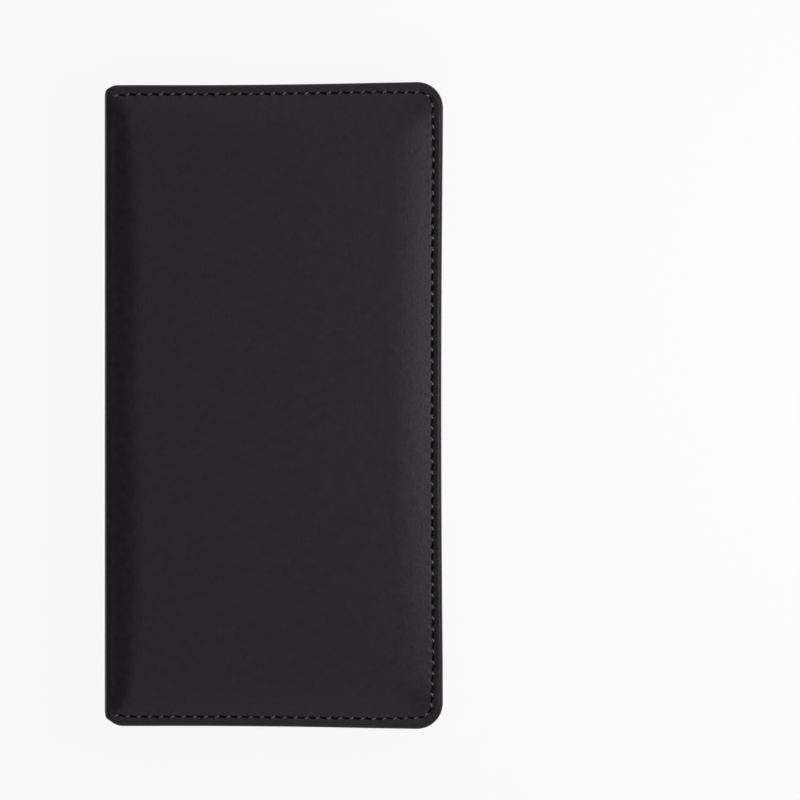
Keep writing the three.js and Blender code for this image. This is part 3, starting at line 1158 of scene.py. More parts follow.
@dataclass
class Lining:
    """Cloth inside one cover, and the gutter tape that leads it round to the spine.

    The cloth's lines are given in millimetres from its edge.
    """

    cover: Cover
    inset: float = 2.2 * MM
    thickness: float = 0.4 * MM
    dent: float = 0.14 * MM
    dent_reach: float = 0.5 * MM
    edge_run: float = 0.3 * MM
    edge_drop: float = 0.1 * MM
    columns: int = 240
    lines: tuple[float, ...] = (0, 0.3, 0.7, 1.2, 1.7, 2.4, 4, 8, 20, 50)
    tape: float = 0.3 * MM
    tape_gap: float = 0.05 * MM
    tape_lap: float = 2.2 * MM
    tape_bend: float = 1.8 * MM
    tape_rows: int = 40
    tape_inset: float = 2.6 * MM

    def __post_init__(self) -> None:
        """Reads the lining's place from the frame."""
        side = self.cover.side
        self.low, self.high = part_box(f"{side.value}_lining")
        self.face = self.high.z if side is Side.BACK else self.cover.sizes.thickness - self.low.z

    def build_sheet(self) -> bpy.types.Object:
        """Models the cloth, dented along the seam that holds it.

        Returns:
            The cloth.
        """
        s = self.cover.sizes
        side = self.cover.side
        insets = np.append(self.inset + np.array(self.lines) * MM, s.length / 2)
        piece = Bench.grid(f"{side.value}_inner_cloth", self.columns, len(insets) - 1)
        unit = Bench.points(piece)
        inset = insets[np.rint(unit[:, 1] * (len(insets) - 1)).astype(int)]
        x, y = EdgeRings(s, self.low.x).places(inset, unit[:, 0], dipped=False)
        seam = np.exp(-(((inset - s.stitch_inset) / self.dent_reach) ** 2))
        edge = np.clip(1 - (inset - self.inset) / self.edge_run, 0, 1)
        depth = self.face - self.dent * seam - self.edge_drop * edge
        x, y = s.draw_in(x, y)
        Bench.shape(piece, np.stack([x, y, s.height(depth, side)], axis=1))
        Bench.weld(piece, side is Side.FRONT)
        Bench.thicken(piece, self.thickness)
        Bench.smooth(piece)
        Bench.dress(piece, Finishes.LINING.material(), Slot.LINING)
        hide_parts(f"{side.value}_lining")
        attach(piece, side.value)
        return piece

    def tape_path(self) -> np.ndarray:
        """Walks the tape's inner face from the middle of the spine to its lap on the lining.

        Returns:
            Places across and depths, one row each.
        """
        s = self.cover.sizes
        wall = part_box("spine_lining")[1].x
        lap = self.face + self.tape + self.tape_gap
        turn = np.linspace(0, math.pi / 2, 7)
        bend = np.column_stack(
            [
                wall + self.tape_bend * (1 - np.cos(turn)),
                lap + self.tape_bend * (1 - np.sin(turn)),
            ]
        )
        middle = np.column_stack([np.full(3, wall), np.linspace(s.thickness / 2, bend[0, 1], 4)[:3]])
        end = self.low.x + self.tape_lap
        flat = np.column_stack([np.linspace(bend[-1, 0], end, 4)[1:], np.full(3, lap)])
        return np.concatenate([middle, bend, flat])

    def build_tape(self) -> bpy.types.Object:
        """Models the gutter tape on this side of the spine's middle.

        Returns:
            The tape.
        """
        s = self.cover.sizes
        side = self.cover.side
        path = self.tape_path()
        piece = Bench.grid(f"{side.value}_gutter_tape", len(path) - 1, self.tape_rows)
        unit = Bench.points(piece)
        spot = path[np.rint(unit[:, 0] * (len(path) - 1)).astype(int)]
        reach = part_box("spine_lining")[1].y - self.tape_inset
        y = (2 * unit[:, 1] - 1) * reach
        Bench.shape(piece, np.column_stack([spot[:, 0], y, s.height(spot[:, 1], side)]))
        Bench.weld(piece, side is Side.FRONT)
        Bench.thicken(piece, self.tape)
        Bench.smooth(piece)
        Bench.dress(piece, Finishes.LINING.material(), Slot.LINING)
        if side is Side.FRONT:
            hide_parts("spine_lining")
        first, last = path[2], path[-4]
        s.height(first[1], side)
        s.height(last[1], side)
        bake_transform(piece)
        return piece

    def build(self) -> list[bpy.types.Object]:
        """Builds the cloth and the tape."""
        return [self.build_sheet(), self.build_tape()]


class Seams:
    """Layout of straight seams inside the wallet."""

    @staticmethod
    def along(lines: list[tuple[np.ndarray, np.ndarray]], pitch: float) -> tuple[np.ndarray, np.ndarray]:
        """Spaces stitches evenly along straight lines.

        Args:
            lines: the two ends of each line in plan.
            pitch: the longest step from stitch to stitch.

        Returns:
            The middle of each stitch in plan, and its unit direction.
        """
        middles, aheads = [], []
        for start, end in lines:
            length = np.linalg.norm(end - start)
            count = math.ceil(length / pitch)
            shares = (np.arange(count) + 0.5) / count
            middles.append(start + shares[:, None] * (end - start))
            aheads.append(np.repeat([(*(end - start) / length, 0.0)], count, axis=0))
        return np.concatenate(middles), np.concatenate(aheads)

    @staticmethod
    def inward(count: int, side: Side) -> np.ndarray:
        """Repeats the direction from a cover towards the other one."""
        return np.tile([0.0, 0.0, -1.0 if side is Side.FRONT else 1.0], (count, 1))


class Edge(Enum):
    """Sides of a pocket panel, as unit directions in plan."""

    UPPER = (0, 1)
    LOWER = (0, -1)
    FORE = (1, 0)
    SPINE = (-1, 0)


@dataclass
class Panel:
    """A pocket panel of leatherette, sewn down on three sides, with a folded hem along its mouth.

    The fine lines near its edges are given in millimetres.
    """

    node: str
    name: str
    side: Side
    mouth: Edge
    low: tuple[float, float]
    high: tuple[float, float]
    sewn: tuple[Edge, ...] = ()
    border: tuple[Edge, ...] = ()
    radius: float = 2 * MM
    covered_to: float = -1.0
    sizes: WalletSizes = field(default_factory=WalletSizes)
    thickness: float = 0.6 * MM
    hem: float = 0.5 * MM
    hem_width: float = 7 * MM
    hem_round: float = 0.5 * MM
    sewn_inset: float = 1.8 * MM
    border_inset: float = 1.4 * MM
    corner_gap: float = 0.6
    dent: float = 0.12 * MM
    dent_reach: float = 0.5 * MM
    edge_round: float = 0.25 * MM
    pitch: float = 3.6 * MM
    stitch: float = 2.4 * MM
    thread: float = 0.45 * MM
    thread_rise: float = 0.05 * MM
    coarse: float = 6 * MM
    fine: tuple[float, ...] = (
        0, 0.1, 0.25, 0.6, 1.1, 1.45, 1.8, 2.15, 2.6, 3.4, 5, 6.4, 6.7, 7, 7.3, 8.2
    )

    def __post_init__(self) -> None:
        """Reads from the frame how deep the panel lies."""
        low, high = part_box(self.node)
        self.base = low.z if self.side is Side.BACK else self.sizes.thickness - high.z
        self.rise = high.z - low.z - self.thickness - self.hem

    def lines(self, low: float, high: float) -> np.ndarray:
        """Rules lines across a panel, close together near both edges.

        Args:
            low: one edge.
            high: the other edge.

        Returns:
            The lines' places, in order.
        """
        near = np.array(self.fine) * MM
        gap = high - low - 2 * near[-1]
        between = np.linspace(low + near[-1], high - near[-1], max(round(gap / self.coarse), 2) + 1)
        return np.concatenate([low + near, between[1:-1], high - near[::-1]])

    def round_corners(self, x: np.ndarray, y: np.ndarray) -> tuple[np.ndarray, np.ndarray]:
        """Rounds the four corners in plan.

        Args:
            x: places across.
            y: places along.

        Returns:
            The rounded places.
        """
        r = self.radius
        (low_x, low_y), (high_x, high_y) = self.low, self.high
        middle_x, middle_y = (low_x + high_x) / 2, (low_y + high_y) / 2
        reach_x, reach_y = (high_x - low_x) / 2 - r, (high_y - low_y) / 2 - r
        a = np.maximum(np.abs(x - middle_x) - reach_x, 0) / r
        b = np.maximum(np.abs(y - middle_y) - reach_y, 0) / r
        longest = np.maximum(a, b)
        angle = np.where(a >= b, b, 2 * longest - a) / np.maximum(longest, 1e-9) * math.pi / 4
        corner = (a > 0) & (b > 0)
        out_x = np.where(corner, reach_x + r * longest * np.cos(angle), np.abs(x - middle_x))
        out_y = np.where(corner, reach_y + r * longest * np.sin(angle), np.abs(y - middle_y))
        return middle_x + np.sign(x - middle_x) * out_x, middle_y + np.sign(y - middle_y) * out_y

    def edge_distance(self, edge: Edge, x: np.ndarray, y: np.ndarray) -> np.ndarray:
        """Gives the distance in from one edge of the panel.

        Args:
            edge: the edge.
            x: places across.
            y: places along.

        Returns:
            The distances.
        """
        across, along = edge.value
        limit = self.high if across + along > 0 else self.low
        return np.abs(limit[0] - x) if across else np.abs(limit[1] - y)

    def covers(self, x: np.ndarray, y: np.ndarray) -> np.ndarray:
        """Tells which places lie on the panel."""
        across = (x > self.low[0]) & (x < self.high[0])
        return across & (y > self.low[1]) & (y < self.high[1])

    def fold(self, x: np.ndarray, y: np.ndarray) -> np.ndarray:
        """Gives the height that the folded hem adds."""
        share = np.clip((self.hem_width - self.edge_distance(self.mouth, x, y)) / self.hem_round, 0, 1)
        return self.hem * share * share * (3 - 2 * share)

    def pull(self, x: np.ndarray, y: np.ndarray) -> np.ndarray:
        """Gives how deep the seams pull the face in.

        Args:
            x: places across.
            y: places along.

        Returns:
            The depth of the dents along the seams.
        """
        insets = {edge: self.sewn_inset for edge in self.sewn}
        insets.update({edge: self.border_inset for edge in self.border})
        depth = np.zeros_like(x)
        for edge, inset in insets.items():
            away = (self.edge_distance(edge, x, y) - inset) / self.dent_reach
            depth = depth + self.dent * np.exp(-(away**2))
        return depth

    def face(self, x: np.ndarray, y: np.ndarray) -> np.ndarray:
        """Gives the depth of the panel's face.

        Args:
            x: places across, before the corners are rounded.
            y: places along, before the corners are rounded.

        Returns:
            The depth of the face, with its hem, its sewn dents and its rounded edge.
        """
        nearest = np.min([self.edge_distance(edge, x, y) for edge in Edge], axis=0)
        rim = np.clip(1 - nearest / self.edge_round, 0, 1)
        rounded = self.edge_round * (1 - np.sqrt(1 - rim**2))
        return self.base + self.thickness + self.fold(x, y) - self.pull(x, y) - rounded

    def build_panel(self) -> bpy.types.Object:
        """Models the panel.

        Returns:
            The panel, a closed sheet.
        """
        across = self.lines(self.low[0], self.high[0])
        along = self.lines(self.low[1], self.high[1])
        piece = Bench.grid(self.name, len(across) - 1, len(along) - 1)
        unit = Bench.points(piece)
        x = across[np.rint(unit[:, 0] * (len(across) - 1)).astype(int)]
        y = along[np.rint(unit[:, 1] * (len(along) - 1)).astype(int)]
        self.settle(piece, x, y)
        Bench.smooth(piece, angle=40)
        Bench.dress(piece, Finishes.POCKET.material(), Slot.LEATHER)
        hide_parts(self.node)
        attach(piece, self.side.value)
        return piece

    def settle(self, piece: bpy.types.Object, x: np.ndarray, y: np.ndarray) -> None:
        """Gives the ruled grid its back, its walls and its face.

        Args:
            piece: the unit grid.
            x: the place across of each of its points.
            y: the place along of each of its points.
        """
        s = self.sizes
        face = s.height(self.face(x, y), self.side)
        flat = np.stack(s.draw_in(*self.round_corners(x, y)), axis=1)
        back = np.full_like(x, s.height(self.base, self.side))
        Bench.shape(piece, np.column_stack([flat, back]))
        Bench.pick(piece)
        bpy.ops.object.mode_set(mode="EDIT")
        bpy.ops.mesh.select_all(action="SELECT")
        bpy.ops.mesh.extrude_region_move()
        bpy.ops.object.mode_set(mode="OBJECT")
        places = Bench.points(piece)
        lifted = np.empty(len(places), dtype=bool)
        piece.data.vertices.foreach_get("select", lifted)
        top = np.flatnonzero(lifted)
        given = np.lexsort(flat.T.round(7))
        found = np.lexsort(places[top, :2].T.round(7))
        places[top[found], 2] = face[given]
        Bench.shape(piece, places)
        Bench.face_out(piece)

    def sewn_lines(self) -> list[tuple[np.ndarray, np.ndarray]]:
        """Lists the panel's own seams.

        Returns:
            The two ends of each seam in plan.
        """
        a = self.sewn_inset
        low, high = np.array(self.low) + a, np.array(self.high) - a
        bend = max(self.radius - a, 0) * self.corner_gap
        ends = {
            Edge.UPPER: ((low[0] + bend, high[1]), (high[0] - bend, high[1])),
            Edge.LOWER: ((low[0] + bend, low[1]), (high[0] - bend, low[1])),
            Edge.FORE: ((high[0], low[1] + bend), (high[0], high[1] - bend)),
            Edge.SPINE: ((low[0], low[1] + bend), (low[0], high[1] - bend)),
        }
        inward = (self.hem_width - 2 * a) * -np.array(self.mouth.value)
        seams = [tuple(np.array(end) for end in ends[edge]) for edge in self.sewn]
        return seams + [tuple(np.array(end) + inward for end in ends[self.mouth])]

    def build_seams(self) -> bpy.types.Object:
        """Sews the panel's own edges and its hem.

        Returns:
            The panel's stitches.
        """
        flat, ahead = Seams.along(self.sewn_lines(), self.pitch)
        shown = flat[:, 1] > self.covered_to
        flat, ahead = flat[shown], ahead[shown]
        level = self.sizes.height(self.face(flat[:, 0], flat[:, 1]), self.side)
        flat = np.stack(self.sizes.draw_in(flat[:, 0], flat[:, 1]), axis=1)
        row = StitchRow(f"{self.name}_stitching", self.thread, self.stitch, self.thread_rise)
        piece = row.model(np.column_stack([flat, level]), ahead, Seams.inward(len(flat), self.side))
        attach(piece, self.side.value)
        return piece

    def build(self) -> list[bpy.types.Object]:
        """Builds the panel and its seams."""
        return [self.build_panel(), self.build_seams()]


@dataclass
class PassportPanel(Panel):
    """The raised passport pocket: a sewn flange, rounded walls and a slightly puffed panel."""

    sewn_inset: float = 1.2 * MM
    dent_reach: float = 0.35 * MM
    wall_foot: float = 1.8 * MM
    wall_run: float = 2.2 * MM
    puff: float = 0.2 * MM
    fine: tuple[float, ...] = (
        0, 0.3, 0.6, 0.9, 1.2, 1.5, 1.8, 2, 2.25, 2.5, 2.75,
        3, 3.25, 3.5, 3.75, 4, 5, 6.4, 6.7, 7, 7.3, 8.2
    )

    def wall_share(self, x: np.ndarray, y: np.ndarray) -> np.ndarray:
        """Gives how far up the wall a place lies.

        Args:
            x: places across.
            y: places along.

        Returns:
            0 on the flange, 1 on the panel and shares between them on the wall.
        """
        share = np.ones_like(x)
        for edge in self.sewn:
            rise = np.clip((self.edge_distance(edge, x, y) - self.wall_foot) / self.wall_run, 0, 1)
            share = share * rise * rise * (3 - 2 * rise)
        return share

    def face(self, x: np.ndarray, y: np.ndarray) -> np.ndarray:
        """Gives the depth of the pocket's face.

        Args:
            x: places across, before the corners are rounded.
            y: places along, before the corners are rounded.

        Returns:
            The depth, with its flange, walls, puffed panel and hem.
        """
        share = self.wall_share(x, y)
        across = (2 * x - self.low[0] - self.high[0]) / (self.high[0] - self.low[0])
        puff = self.puff * (1 - across**2)
        raised = (self.rise + self.fold(x, y) + puff) * share
        return self.base + self.thickness + raised - self.pull(x, y) * (1 - share)

    def settle(self, piece: bpy.types.Object, x: np.ndarray, y: np.ndarray) -> None:
        """Shapes the ruled grid into the pocket and gives it the thickness of its leather.

        Args:
            piece: the unit grid.
            x: the place across of each of its points.
            y: the place along of each of its points.
        """
        square = self.edge_distance(self.mouth, x, y) < self.radius
        rounded_x, rounded_y = self.round_corners(x, y)
        plan_x, plan_y = np.where(square, x, rounded_x), np.where(square, y, rounded_y)
        flat = np.stack(self.sizes.draw_in(plan_x, plan_y), axis=1)
        face = self.sizes.height(self.face(x, y), self.side)
        Bench.shape(piece, np.column_stack([flat, face]))
        Bench.weld(piece, self.side is Side.FRONT)
        Bench.thicken(piece, self.thickness)


@dataclass
class WindowPocket:
    """The window pocket of the front half: a sewn frame over a sheet of clear film."""

    side_rail: float = 6.5 * MM
    end_rail: float = 12 * MM
    corner: float = 2 * MM
    least_corner: float = 0.4 * MM
    window_corner: float = 4 * MM
    corner_steps: int = 8
    side_steps: int = 14
    edge_round: float = 0.22 * MM
    sewn_inset: float = 1.8 * MM
    dent: float = 0.12 * MM
    dent_reach: float = 0.5 * MM
    pitch: float = 3.6 * MM
    beside_seam: tuple[float, ...] = (-0.8, -0.4, 0, 0.4, 0.8)
    film: float = 0.15 * MM
    film_columns: int = 28
    film_rows: int = 20
    ripple: float = 0.04 * MM
    ripple_turns: tuple[float, float] = (7.3, 5.1)
    ripple_starts: tuple[float, float] = (1.1, 0.4)

    def outline(self, low: tuple, high: tuple, radius: float, share: np.ndarray) -> np.ndarray:
        """Walks round a rounded rectangle.

        Args:
            low: its lowest corner in plan.
            high: its highest corner in plan.
            radius: its corner radius.
            share: step of each point, from 0 to the number of steps.

        Returns:
            The points in plan, one row each.
        """
        per_side = self.corner_steps + self.side_steps
        quarter = (share // per_side).astype(int) % 4
        step = share % per_side
        turn = np.clip(step / self.corner_steps, 0, 1) * math.pi / 2 + quarter * math.pi / 2
        run = np.clip((step - self.corner_steps) / self.side_steps, 0, 1)
        right, up = np.array([1, 0, 0, 1]), np.array([1, 1, 0, 0])
        following = (quarter + 1) % 4
        low_x, low_y = low[0] + radius, low[1] + radius
        high_x, high_y = high[0] - radius, high[1] - radius

        def centre(index: np.ndarray) -> tuple[np.ndarray, np.ndarray]:
            """Middle of each corner's arc."""
            return low_x + right[index] * (high_x - low_x), low_y + up[index] * (high_y - low_y)

        here_x, here_y = centre(quarter)
        next_x, next_y = centre(following)
        x = here_x + run * (next_x - here_x) + radius * np.cos(turn)
        y = here_y + run * (next_y - here_y) + radius * np.sin(turn)
        return np.column_stack([x, y])

    def build_frame(self) -> bpy.types.Object:
        """Models the frame as one ring of leather with soft edges.

        Returns:
            The frame.
        """
        low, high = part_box("id_window_frame")
        t = high.z - low.z
        e = self.edge_round
        outer = [(0, 1), (0, e / t), (e / 3, e / t / 3), (e, 0)]
        beside = np.array(self.beside_seam) * MM
        dents = self.dent / t * np.exp(-((beside / self.dent_reach) ** 2))
        seam = list(zip(self.sewn_inset + beside, dents))
        stations = [(a, None, u) for a, u in outer + seam]
        stations += [(None, a, u) for a, u in reversed(outer + seam)]
        count = 4 * (self.corner_steps + self.side_steps)
        piece = Bench.grid("id_window_leather", count, len(stations))
        unit = Bench.points(piece)
        share = np.rint(unit[:, 0] * count)
        station = np.rint(unit[:, 1] * len(stations)).astype(int) % len(stations)
        places = np.empty((len(unit), 3))
        for index, (outset, inset, drop) in enumerate(stations):
            here = station == index
            if inset is None:
                ring = self.outline(
                    (low.x + outset, low.y + outset),
                    (high.x - outset, high.y - outset),
                    max(self.corner - outset, self.least_corner),
                    share[here],
                )
            else:
                ring = self.outline(
                    (low.x + self.side_rail - inset, low.y + self.end_rail - inset),
                    (high.x - self.side_rail + inset, high.y - self.end_rail + inset),
                    self.window_corner + inset,
                    share[here],
                )
            places[here] = np.column_stack([ring, np.full(len(ring), low.z + drop * t)])
        Bench.shape(piece, places)
        Bench.weld(piece, flip=False)
        Bench.face_out(piece)
        Bench.smooth(piece)
        Bench.dress(piece, Finishes.POCKET.material(), Slot.LEATHER)
        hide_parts("id_window_frame")
        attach(piece, Side.FRONT.value)
        return piece

    def build_film(self) -> bpy.types.Object:
        """Models the film with a slight ripple.

        Returns:
            The film.
        """
        low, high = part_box("id_window_film")
        piece = Bench.grid("id_window_vinyl", self.film_columns, self.film_rows)
        unit = Bench.points(piece)
        x = low.x + unit[:, 0] * (high.x - low.x)
        y = low.y + unit[:, 1] * (high.y - low.y)
        wave = np.sin(unit[:, :2] * self.ripple_turns + self.ripple_starts).prod(axis=1)
        z = (low.z + high.z - self.film) / 2 + self.ripple * wave
        Bench.shape(piece, np.column_stack([x, y, z]))
        Bench.weld(piece, flip=True)
        Bench.thicken(piece, self.film)
        Bench.smooth(piece)
        Bench.dress(piece, Finishes.FILM.material(), Slot.FILM)
        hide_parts("id_window_film")
        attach(piece, Side.FRONT.value)
        return piece

    def build_seams(self) -> bpy.types.Object:
        """Sews the frame along both its outlines.

        Returns:
            The frame's stitches.
        """
        low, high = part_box("id_window_frame")
        rails = [
            (self.sewn_inset, self.sewn_inset),
            (self.side_rail - self.sewn_inset, self.end_rail - self.sewn_inset),
        ]
        lines = []
        for in_x, in_y in rails:
            x0, y0, x1, y1 = low.x + in_x, low.y + in_y, high.x - in_x, high.y - in_y
            corners = np.array([(x0, y0), (x1, y0), (x1, y1), (x0, y1), (x0, y0)])
            lines += list(zip(corners[:-1], corners[1:]))
        flat, ahead = Seams.along(lines, self.pitch)
        level = np.full(len(flat), low.z + self.dent)
        row = StitchRow("id_window_stitching", Panel.thread, Panel.stitch, Panel.thread_rise)
        piece = row.model(np.column_stack([flat, level]), ahead, Seams.inward(len(flat), Side.FRONT))
        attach(piece, Side.FRONT.value)
        return piece

    def build(self) -> list[bpy.types.Object]:
        """Builds the film, the frame over it and the stitches."""
        return [self.build_film(), self.build_frame(), self.build_seams()]


@dataclass
class Pockets:
    """All pockets of both halves."""

    half: float = 112.5 * MM
    fore: float = 58 * MM
    corner: float = 5 * MM
    ticket_left: float = -52.6 * MM
    ticket_mouth: float = 100.5 * MM
    document_left: float = -51.6 * MM
    passport_left: float = -47.6 * MM
    passport_right: float = 56.1 * MM
    passport_low: float = -110.6 * MM
    passport_mouth: float = -0.5 * MM
    slot_left: float = -41.6 * MM
    slot_right: float = 54.5 * MM
    slot_low: float = 13.5 * MM
    slot_mouth: float = 106.5 * MM
    slot_step: float = 13 * MM
    slots: int = 4

    def outer_panels(self) -> dict[Side, Panel]:
        """Plans the panel of each half that the border seam catches.

        Returns:
            The panel of each half.
        """
        return {
            Side.BACK: Panel(
                node="ticket_pocket",
                name="ticket_panel",
                side=Side.BACK,
                mouth=Edge.UPPER,
                low=(self.ticket_left, -self.half),
                high=(self.fore, self.ticket_mouth),
                sewn=(Edge.SPINE,),
                border=(Edge.LOWER, Edge.FORE),
                radius=self.corner,
            ),
            Side.FRONT: Panel(
                node="document_pocket",
                name="document_panel",
                side=Side.FRONT,
                mouth=Edge.SPINE,
                low=(self.document_left, -self.half),
                high=(self.fore, self.half),
                border=(Edge.UPPER, Edge.LOWER, Edge.FORE),
                radius=self.corner,
            ),
        }

    def inner_panels(self) -> list[Panel]:
        """Plans the panels that are sewn on the outer ones.

        Returns:
            The panels of both halves.
        """
        upright = (Edge.LOWER, Edge.FORE, Edge.SPINE)
        panels = [
            PassportPanel(
                node="passport_pocket",
                name="passport_panel",
                side=Side.BACK,
                mouth=Edge.UPPER,
                low=(self.passport_left, self.passport_low),
                high=(self.passport_right, self.passport_mouth),
                sewn=upright,
                radius=self.corner,
            )
        ]
        for step in range(self.slots):
            mouth = self.slot_mouth - step * self.slot_step
            last = step == self.slots - 1
            panels.append(
                Panel(
                    node=f"card_slot_{step + 1}",
                    name=f"card_panel_{step + 1}",
                    side=Side.FRONT,
                    mouth=Edge.UPPER,
                    low=(self.slot_left, self.slot_low),
                    high=(self.slot_right, mouth),
                    sewn=upright,
                    covered_to=self.slot_low if last else mouth - self.slot_step,
                )
            )
        return panels

    def build(self, outer: Panel) -> list[bpy.types.Object]:
        """Builds the pockets of one half.

        Args:
            outer: the half's outer panel.

        Returns:
            The pieces.
        """
        pieces = outer.build()
        for panel in self.inner_panels():
            if panel.side is outer.side:
                pieces += panel.build()
        if outer.side is Side.FRONT:
            pieces += WindowPocket().build()
        return pieces


@dataclass
class BorderSeam:
    """The cover's seam where it comes out inside, over the cloth and the outer pocket panel."""

    lining: Lining
    panel: Panel
    thread: float = 0.5 * MM
    visible: float = 2.6 * MM
    run: float = 2.4 * MM
    phase: float = 0.5
    sunk: float = 0.8

    def build(self) -> bpy.types.Object:
        """Sews the seam.

        Returns:
            The row of stitches on the inside.
        """
        cover = self.lining.cover
        s = cover.sizes
        flat, ahead = cover.seam_marks(self.phase, self.run, dipped=False)
        x, y = s.draw_out(flat[:, 0], flat[:, 1])
        cloth = self.lining.face - self.sunk * self.lining.dent
        depth = np.where(self.panel.covers(x, y), self.panel.face(x, y), cloth)
        row = StitchRow(f"{cover.side.value}_inner_stitching", self.thread, self.visible)
        places = np.column_stack([flat, s.height(depth, cover.side)])
        piece = row.model(places, ahead, Seams.inward(len(flat), cover.side))
        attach(piece, cover.side.value)
        return piece


@dataclass
class Boards:
    """The stiffener boards: those of the covers keep their solids, and the spine's fits its hems."""

    nodes: tuple[str, ...] = ("front_board", "back_board")
    end_inset: float = 1 * MM
    rounding: float = 0.25 * MM

    def dress(self) -> None:
        """Gives each cover's board the look of plain bookbinding board."""
        for node in self.nodes:
            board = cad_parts[node]
            board.data.materials.clear()
            board.data.materials.append(Finishes.BOARD.material())

    def build(self) -> bpy.types.Object:
        """Models the spine's board, a strip with worn edges that ends inside the turned hems.

        Returns:
            The board.
        """
        low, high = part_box("spine_stiffener")
        size = high - low - Vector((0, 2 * self.end_inset, 0))
        Bench.clear()
        bpy.ops.mesh.primitive_cube_add(size=1, location=(low + high) / 2)
        piece = bpy.context.object
        piece.name = piece.data.name = "spine_board"
        piece.scale = size
        bpy.ops.object.transform_apply(location=True, rotation=True, scale=True)
        bpy.ops.object.mode_set(mode="EDIT")
        bpy.ops.mesh.select_all(action="SELECT")
        bpy.ops.mesh.bevel(offset=self.rounding, segments=3)
        bpy.ops.object.mode_set(mode="OBJECT")
        Bench.smooth(piece, angle=40)
        Bench.dress(piece, Finishes.BOARD.material(), Slot.BOARD)
        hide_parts("spine_stiffener")
        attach(piece, "spine")
        return piece


@dataclass(frozen=True)
class SoftBox:
    """A lamp with a broad rectangular face."""

    name: str
    place: tuple[float, float, float]
    aim: tuple[float, float, float]
    size: tuple[float, float]
    power: float

    def hang(self) -> None:
        """Hangs the lamp at its place, turned to its aim."""
        lamp = bpy.data.lights.new(self.name, "AREA")
        lamp.shape = "RECTANGLE"
        lamp.size, lamp.size_y = self.size
        lamp.energy = self.power
        box = bpy.data.objects.new(self.name, lamp)
        box.location = self.place
        gaze = Vector(self.aim) - Vector(self.place)
        box.rotation_euler = gaze.to_track_quat("-Z", "Y").to_euler()
        bpy.context.collection.objects.link(box)


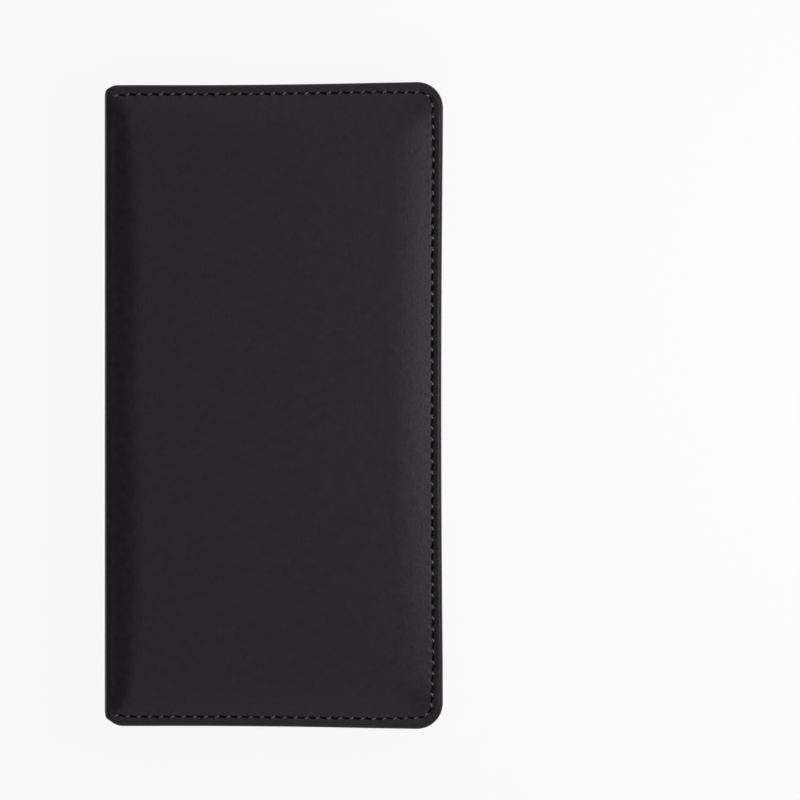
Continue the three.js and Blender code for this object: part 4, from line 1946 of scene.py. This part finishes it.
@dataclass
class Studio:
    """Floor, light and camera."""

    floor_radius: float = 3.0
    floor_sides: int = 96
    floor_tone: float = 0.8
    cove_radius: float = 0.5
    cove_steps: int = 6
    wall_height: float = 1.1
    white_share: float = 0.9
    frame_width: float = 281.8 * MM
    lens: float = 150.0
    sensor: float = 36.0
    camera_x: float = 44.6 * MM
    camera_y: float = 1.95 * MM
    air: float = 0.08
    lamps: tuple[SoftBox, ...] = (
        SoftBox("fore_soft_box", (0.295, 0.03, 0.305), (0.05, 0.02, 0.02), (0.28, 0.18), 0.78),
        SoftBox("top_soft_box", (-0.08, 0, 2.2), (-0.08, 0, 0), (0.8, 4.5), 14.0),
        SoftBox("spine_soft_box", (-1.2, 0, 0.28), (-0.06, 0, 0.01), (1.2, 0.12), 0.55),
        SoftBox("lower_soft_box", (0.2, -1.5, 1.5), (0.05, 0, 0), (1.4, 0.8), 4.2),
        SoftBox("upper_soft_box", (0.2, 1.5, 1.5), (0.05, 0, 0), (1.4, 0.8), 4.2),
    )

    def build_floor(self) -> bpy.types.Object:
        """Lays a pale floor that curves up into a low wall all round.

        Returns:
            The floor.
        """
        Bench.clear()
        bpy.ops.mesh.primitive_circle_add(
            vertices=self.floor_sides, radius=self.floor_radius, fill_type="NGON"
        )
        floor = bpy.context.object
        floor.name = "floor"
        bpy.ops.object.mode_set(mode="EDIT")
        bpy.ops.mesh.select_all(action="SELECT")
        bpy.ops.mesh.region_to_loop()
        for step in range(1, self.cove_steps + 1):
            turn = math.pi / 2 * step / self.cove_steps
            last = math.pi / 2 * (step - 1) / self.cove_steps
            grown = self.floor_radius + self.cove_radius * math.sin(turn)
            before = self.floor_radius + self.cove_radius * math.sin(last)
            rise = self.cove_radius * (math.cos(last) - math.cos(turn))
            bpy.ops.mesh.extrude_edges_move(TRANSFORM_OT_translate={"value": (0, 0, rise)})
            bpy.ops.transform.resize(value=(grown / before, grown / before, 1))
        bpy.ops.mesh.extrude_edges_move(TRANSFORM_OT_translate={"value": (0, 0, self.wall_height)})
        bpy.ops.object.mode_set(mode="OBJECT")
        Bench.smooth(floor, angle=40)
        floor.data.materials.append(self.floor_material())
        return floor

    def floor_material(self) -> bpy.types.Material:
        """Builds the floor's material.

        Returns:
            A white that shows as the background and still takes the wallet's shadow.
        """
        made = bpy.data.materials.new("white_floor")
        made.use_nodes = True
        table = NodeTable(made.node_tree)
        path = table.add("LightPath").outputs
        seen = table.math("MAXIMUM", path["Is Camera Ray"], path["Is Glossy Ray"])
        seen = table.math("MAXIMUM", seen, path["Is Transmission Ray"])
        matte = table.add("BsdfDiffuse", Color=(*[self.floor_tone] * 3, 1))
        bright = table.add("Emission", Color=(1, 1, 1, 1), Strength=1.0)
        both = table.add("MixShader")
        table.feed(both, "0", table.math("MULTIPLY", seen, self.white_share))
        table.feed(both, "1", matte.outputs[0])
        table.feed(both, "2", bright.outputs[0])
        table.add("OutputMaterial", Surface=both.outputs[0])
        return made

    def build_light(self) -> None:
        """Lights the wallet softly from above, from the fore edge and faintly from the spine."""
        world = bpy.data.worlds.new("studio_air")
        bpy.context.scene.world = world
        world.use_nodes = True
        table = NodeTable(world.node_tree)
        air = table.add("Background", Color=(1, 1, 1, 1), Strength=self.air)
        table.add("OutputWorld", Surface=air.outputs["Background"])
        for lamp in self.lamps:
            lamp.hang()

    def build_camera(self, sizes: WalletSizes) -> None:
        """Sets the camera straight above the closed wallet, which lies left of the middle.

        Args:
            sizes: the wallet's shared sizes.
        """
        camera = bpy.data.cameras.new("camera")
        camera.lens = self.lens
        camera.sensor_width = self.sensor
        camera.dof.use_dof = False
        eye = bpy.data.objects.new("camera", camera)
        border = sizes.thickness - sizes.border_depth
        distance = self.frame_width * self.lens / self.sensor
        eye.location = (self.camera_x, self.camera_y, border + distance)
        bpy.context.collection.objects.link(eye)
        scene = bpy.context.scene
        scene.camera = eye
        scene.view_settings.view_transform = "Standard"

    def build(self, sizes: WalletSizes) -> None:
        """Builds the whole studio round the wallet.

        Args:
            sizes: the wallet's shared sizes.
        """
        self.build_floor()
        self.build_light()
        self.build_camera(sizes)


def main() -> None:
    """Builds the wallet piece by piece and reports each."""
    logging.basicConfig(level=logging.INFO, format="%(message)s")
    sizes = WalletSizes()
    Studio().build(sizes)
    pieces = []
    pockets = Pockets()
    for side, panel in pockets.outer_panels().items():
        cover = Cover(side)
        lining = Lining(cover)
        pieces += cover.build()
        pieces.append(Foam(cover).build())
        pieces += lining.build()
        pieces += pockets.build(panel)
        pieces.append(BorderSeam(lining, panel).build())
    boards = Boards()
    boards.dress()
    pieces.append(boards.build())
    for piece in pieces:
        LOG.info("%s: %d faces", piece.name, len(piece.data.polygons))


if __name__ == "__main__":
    main()
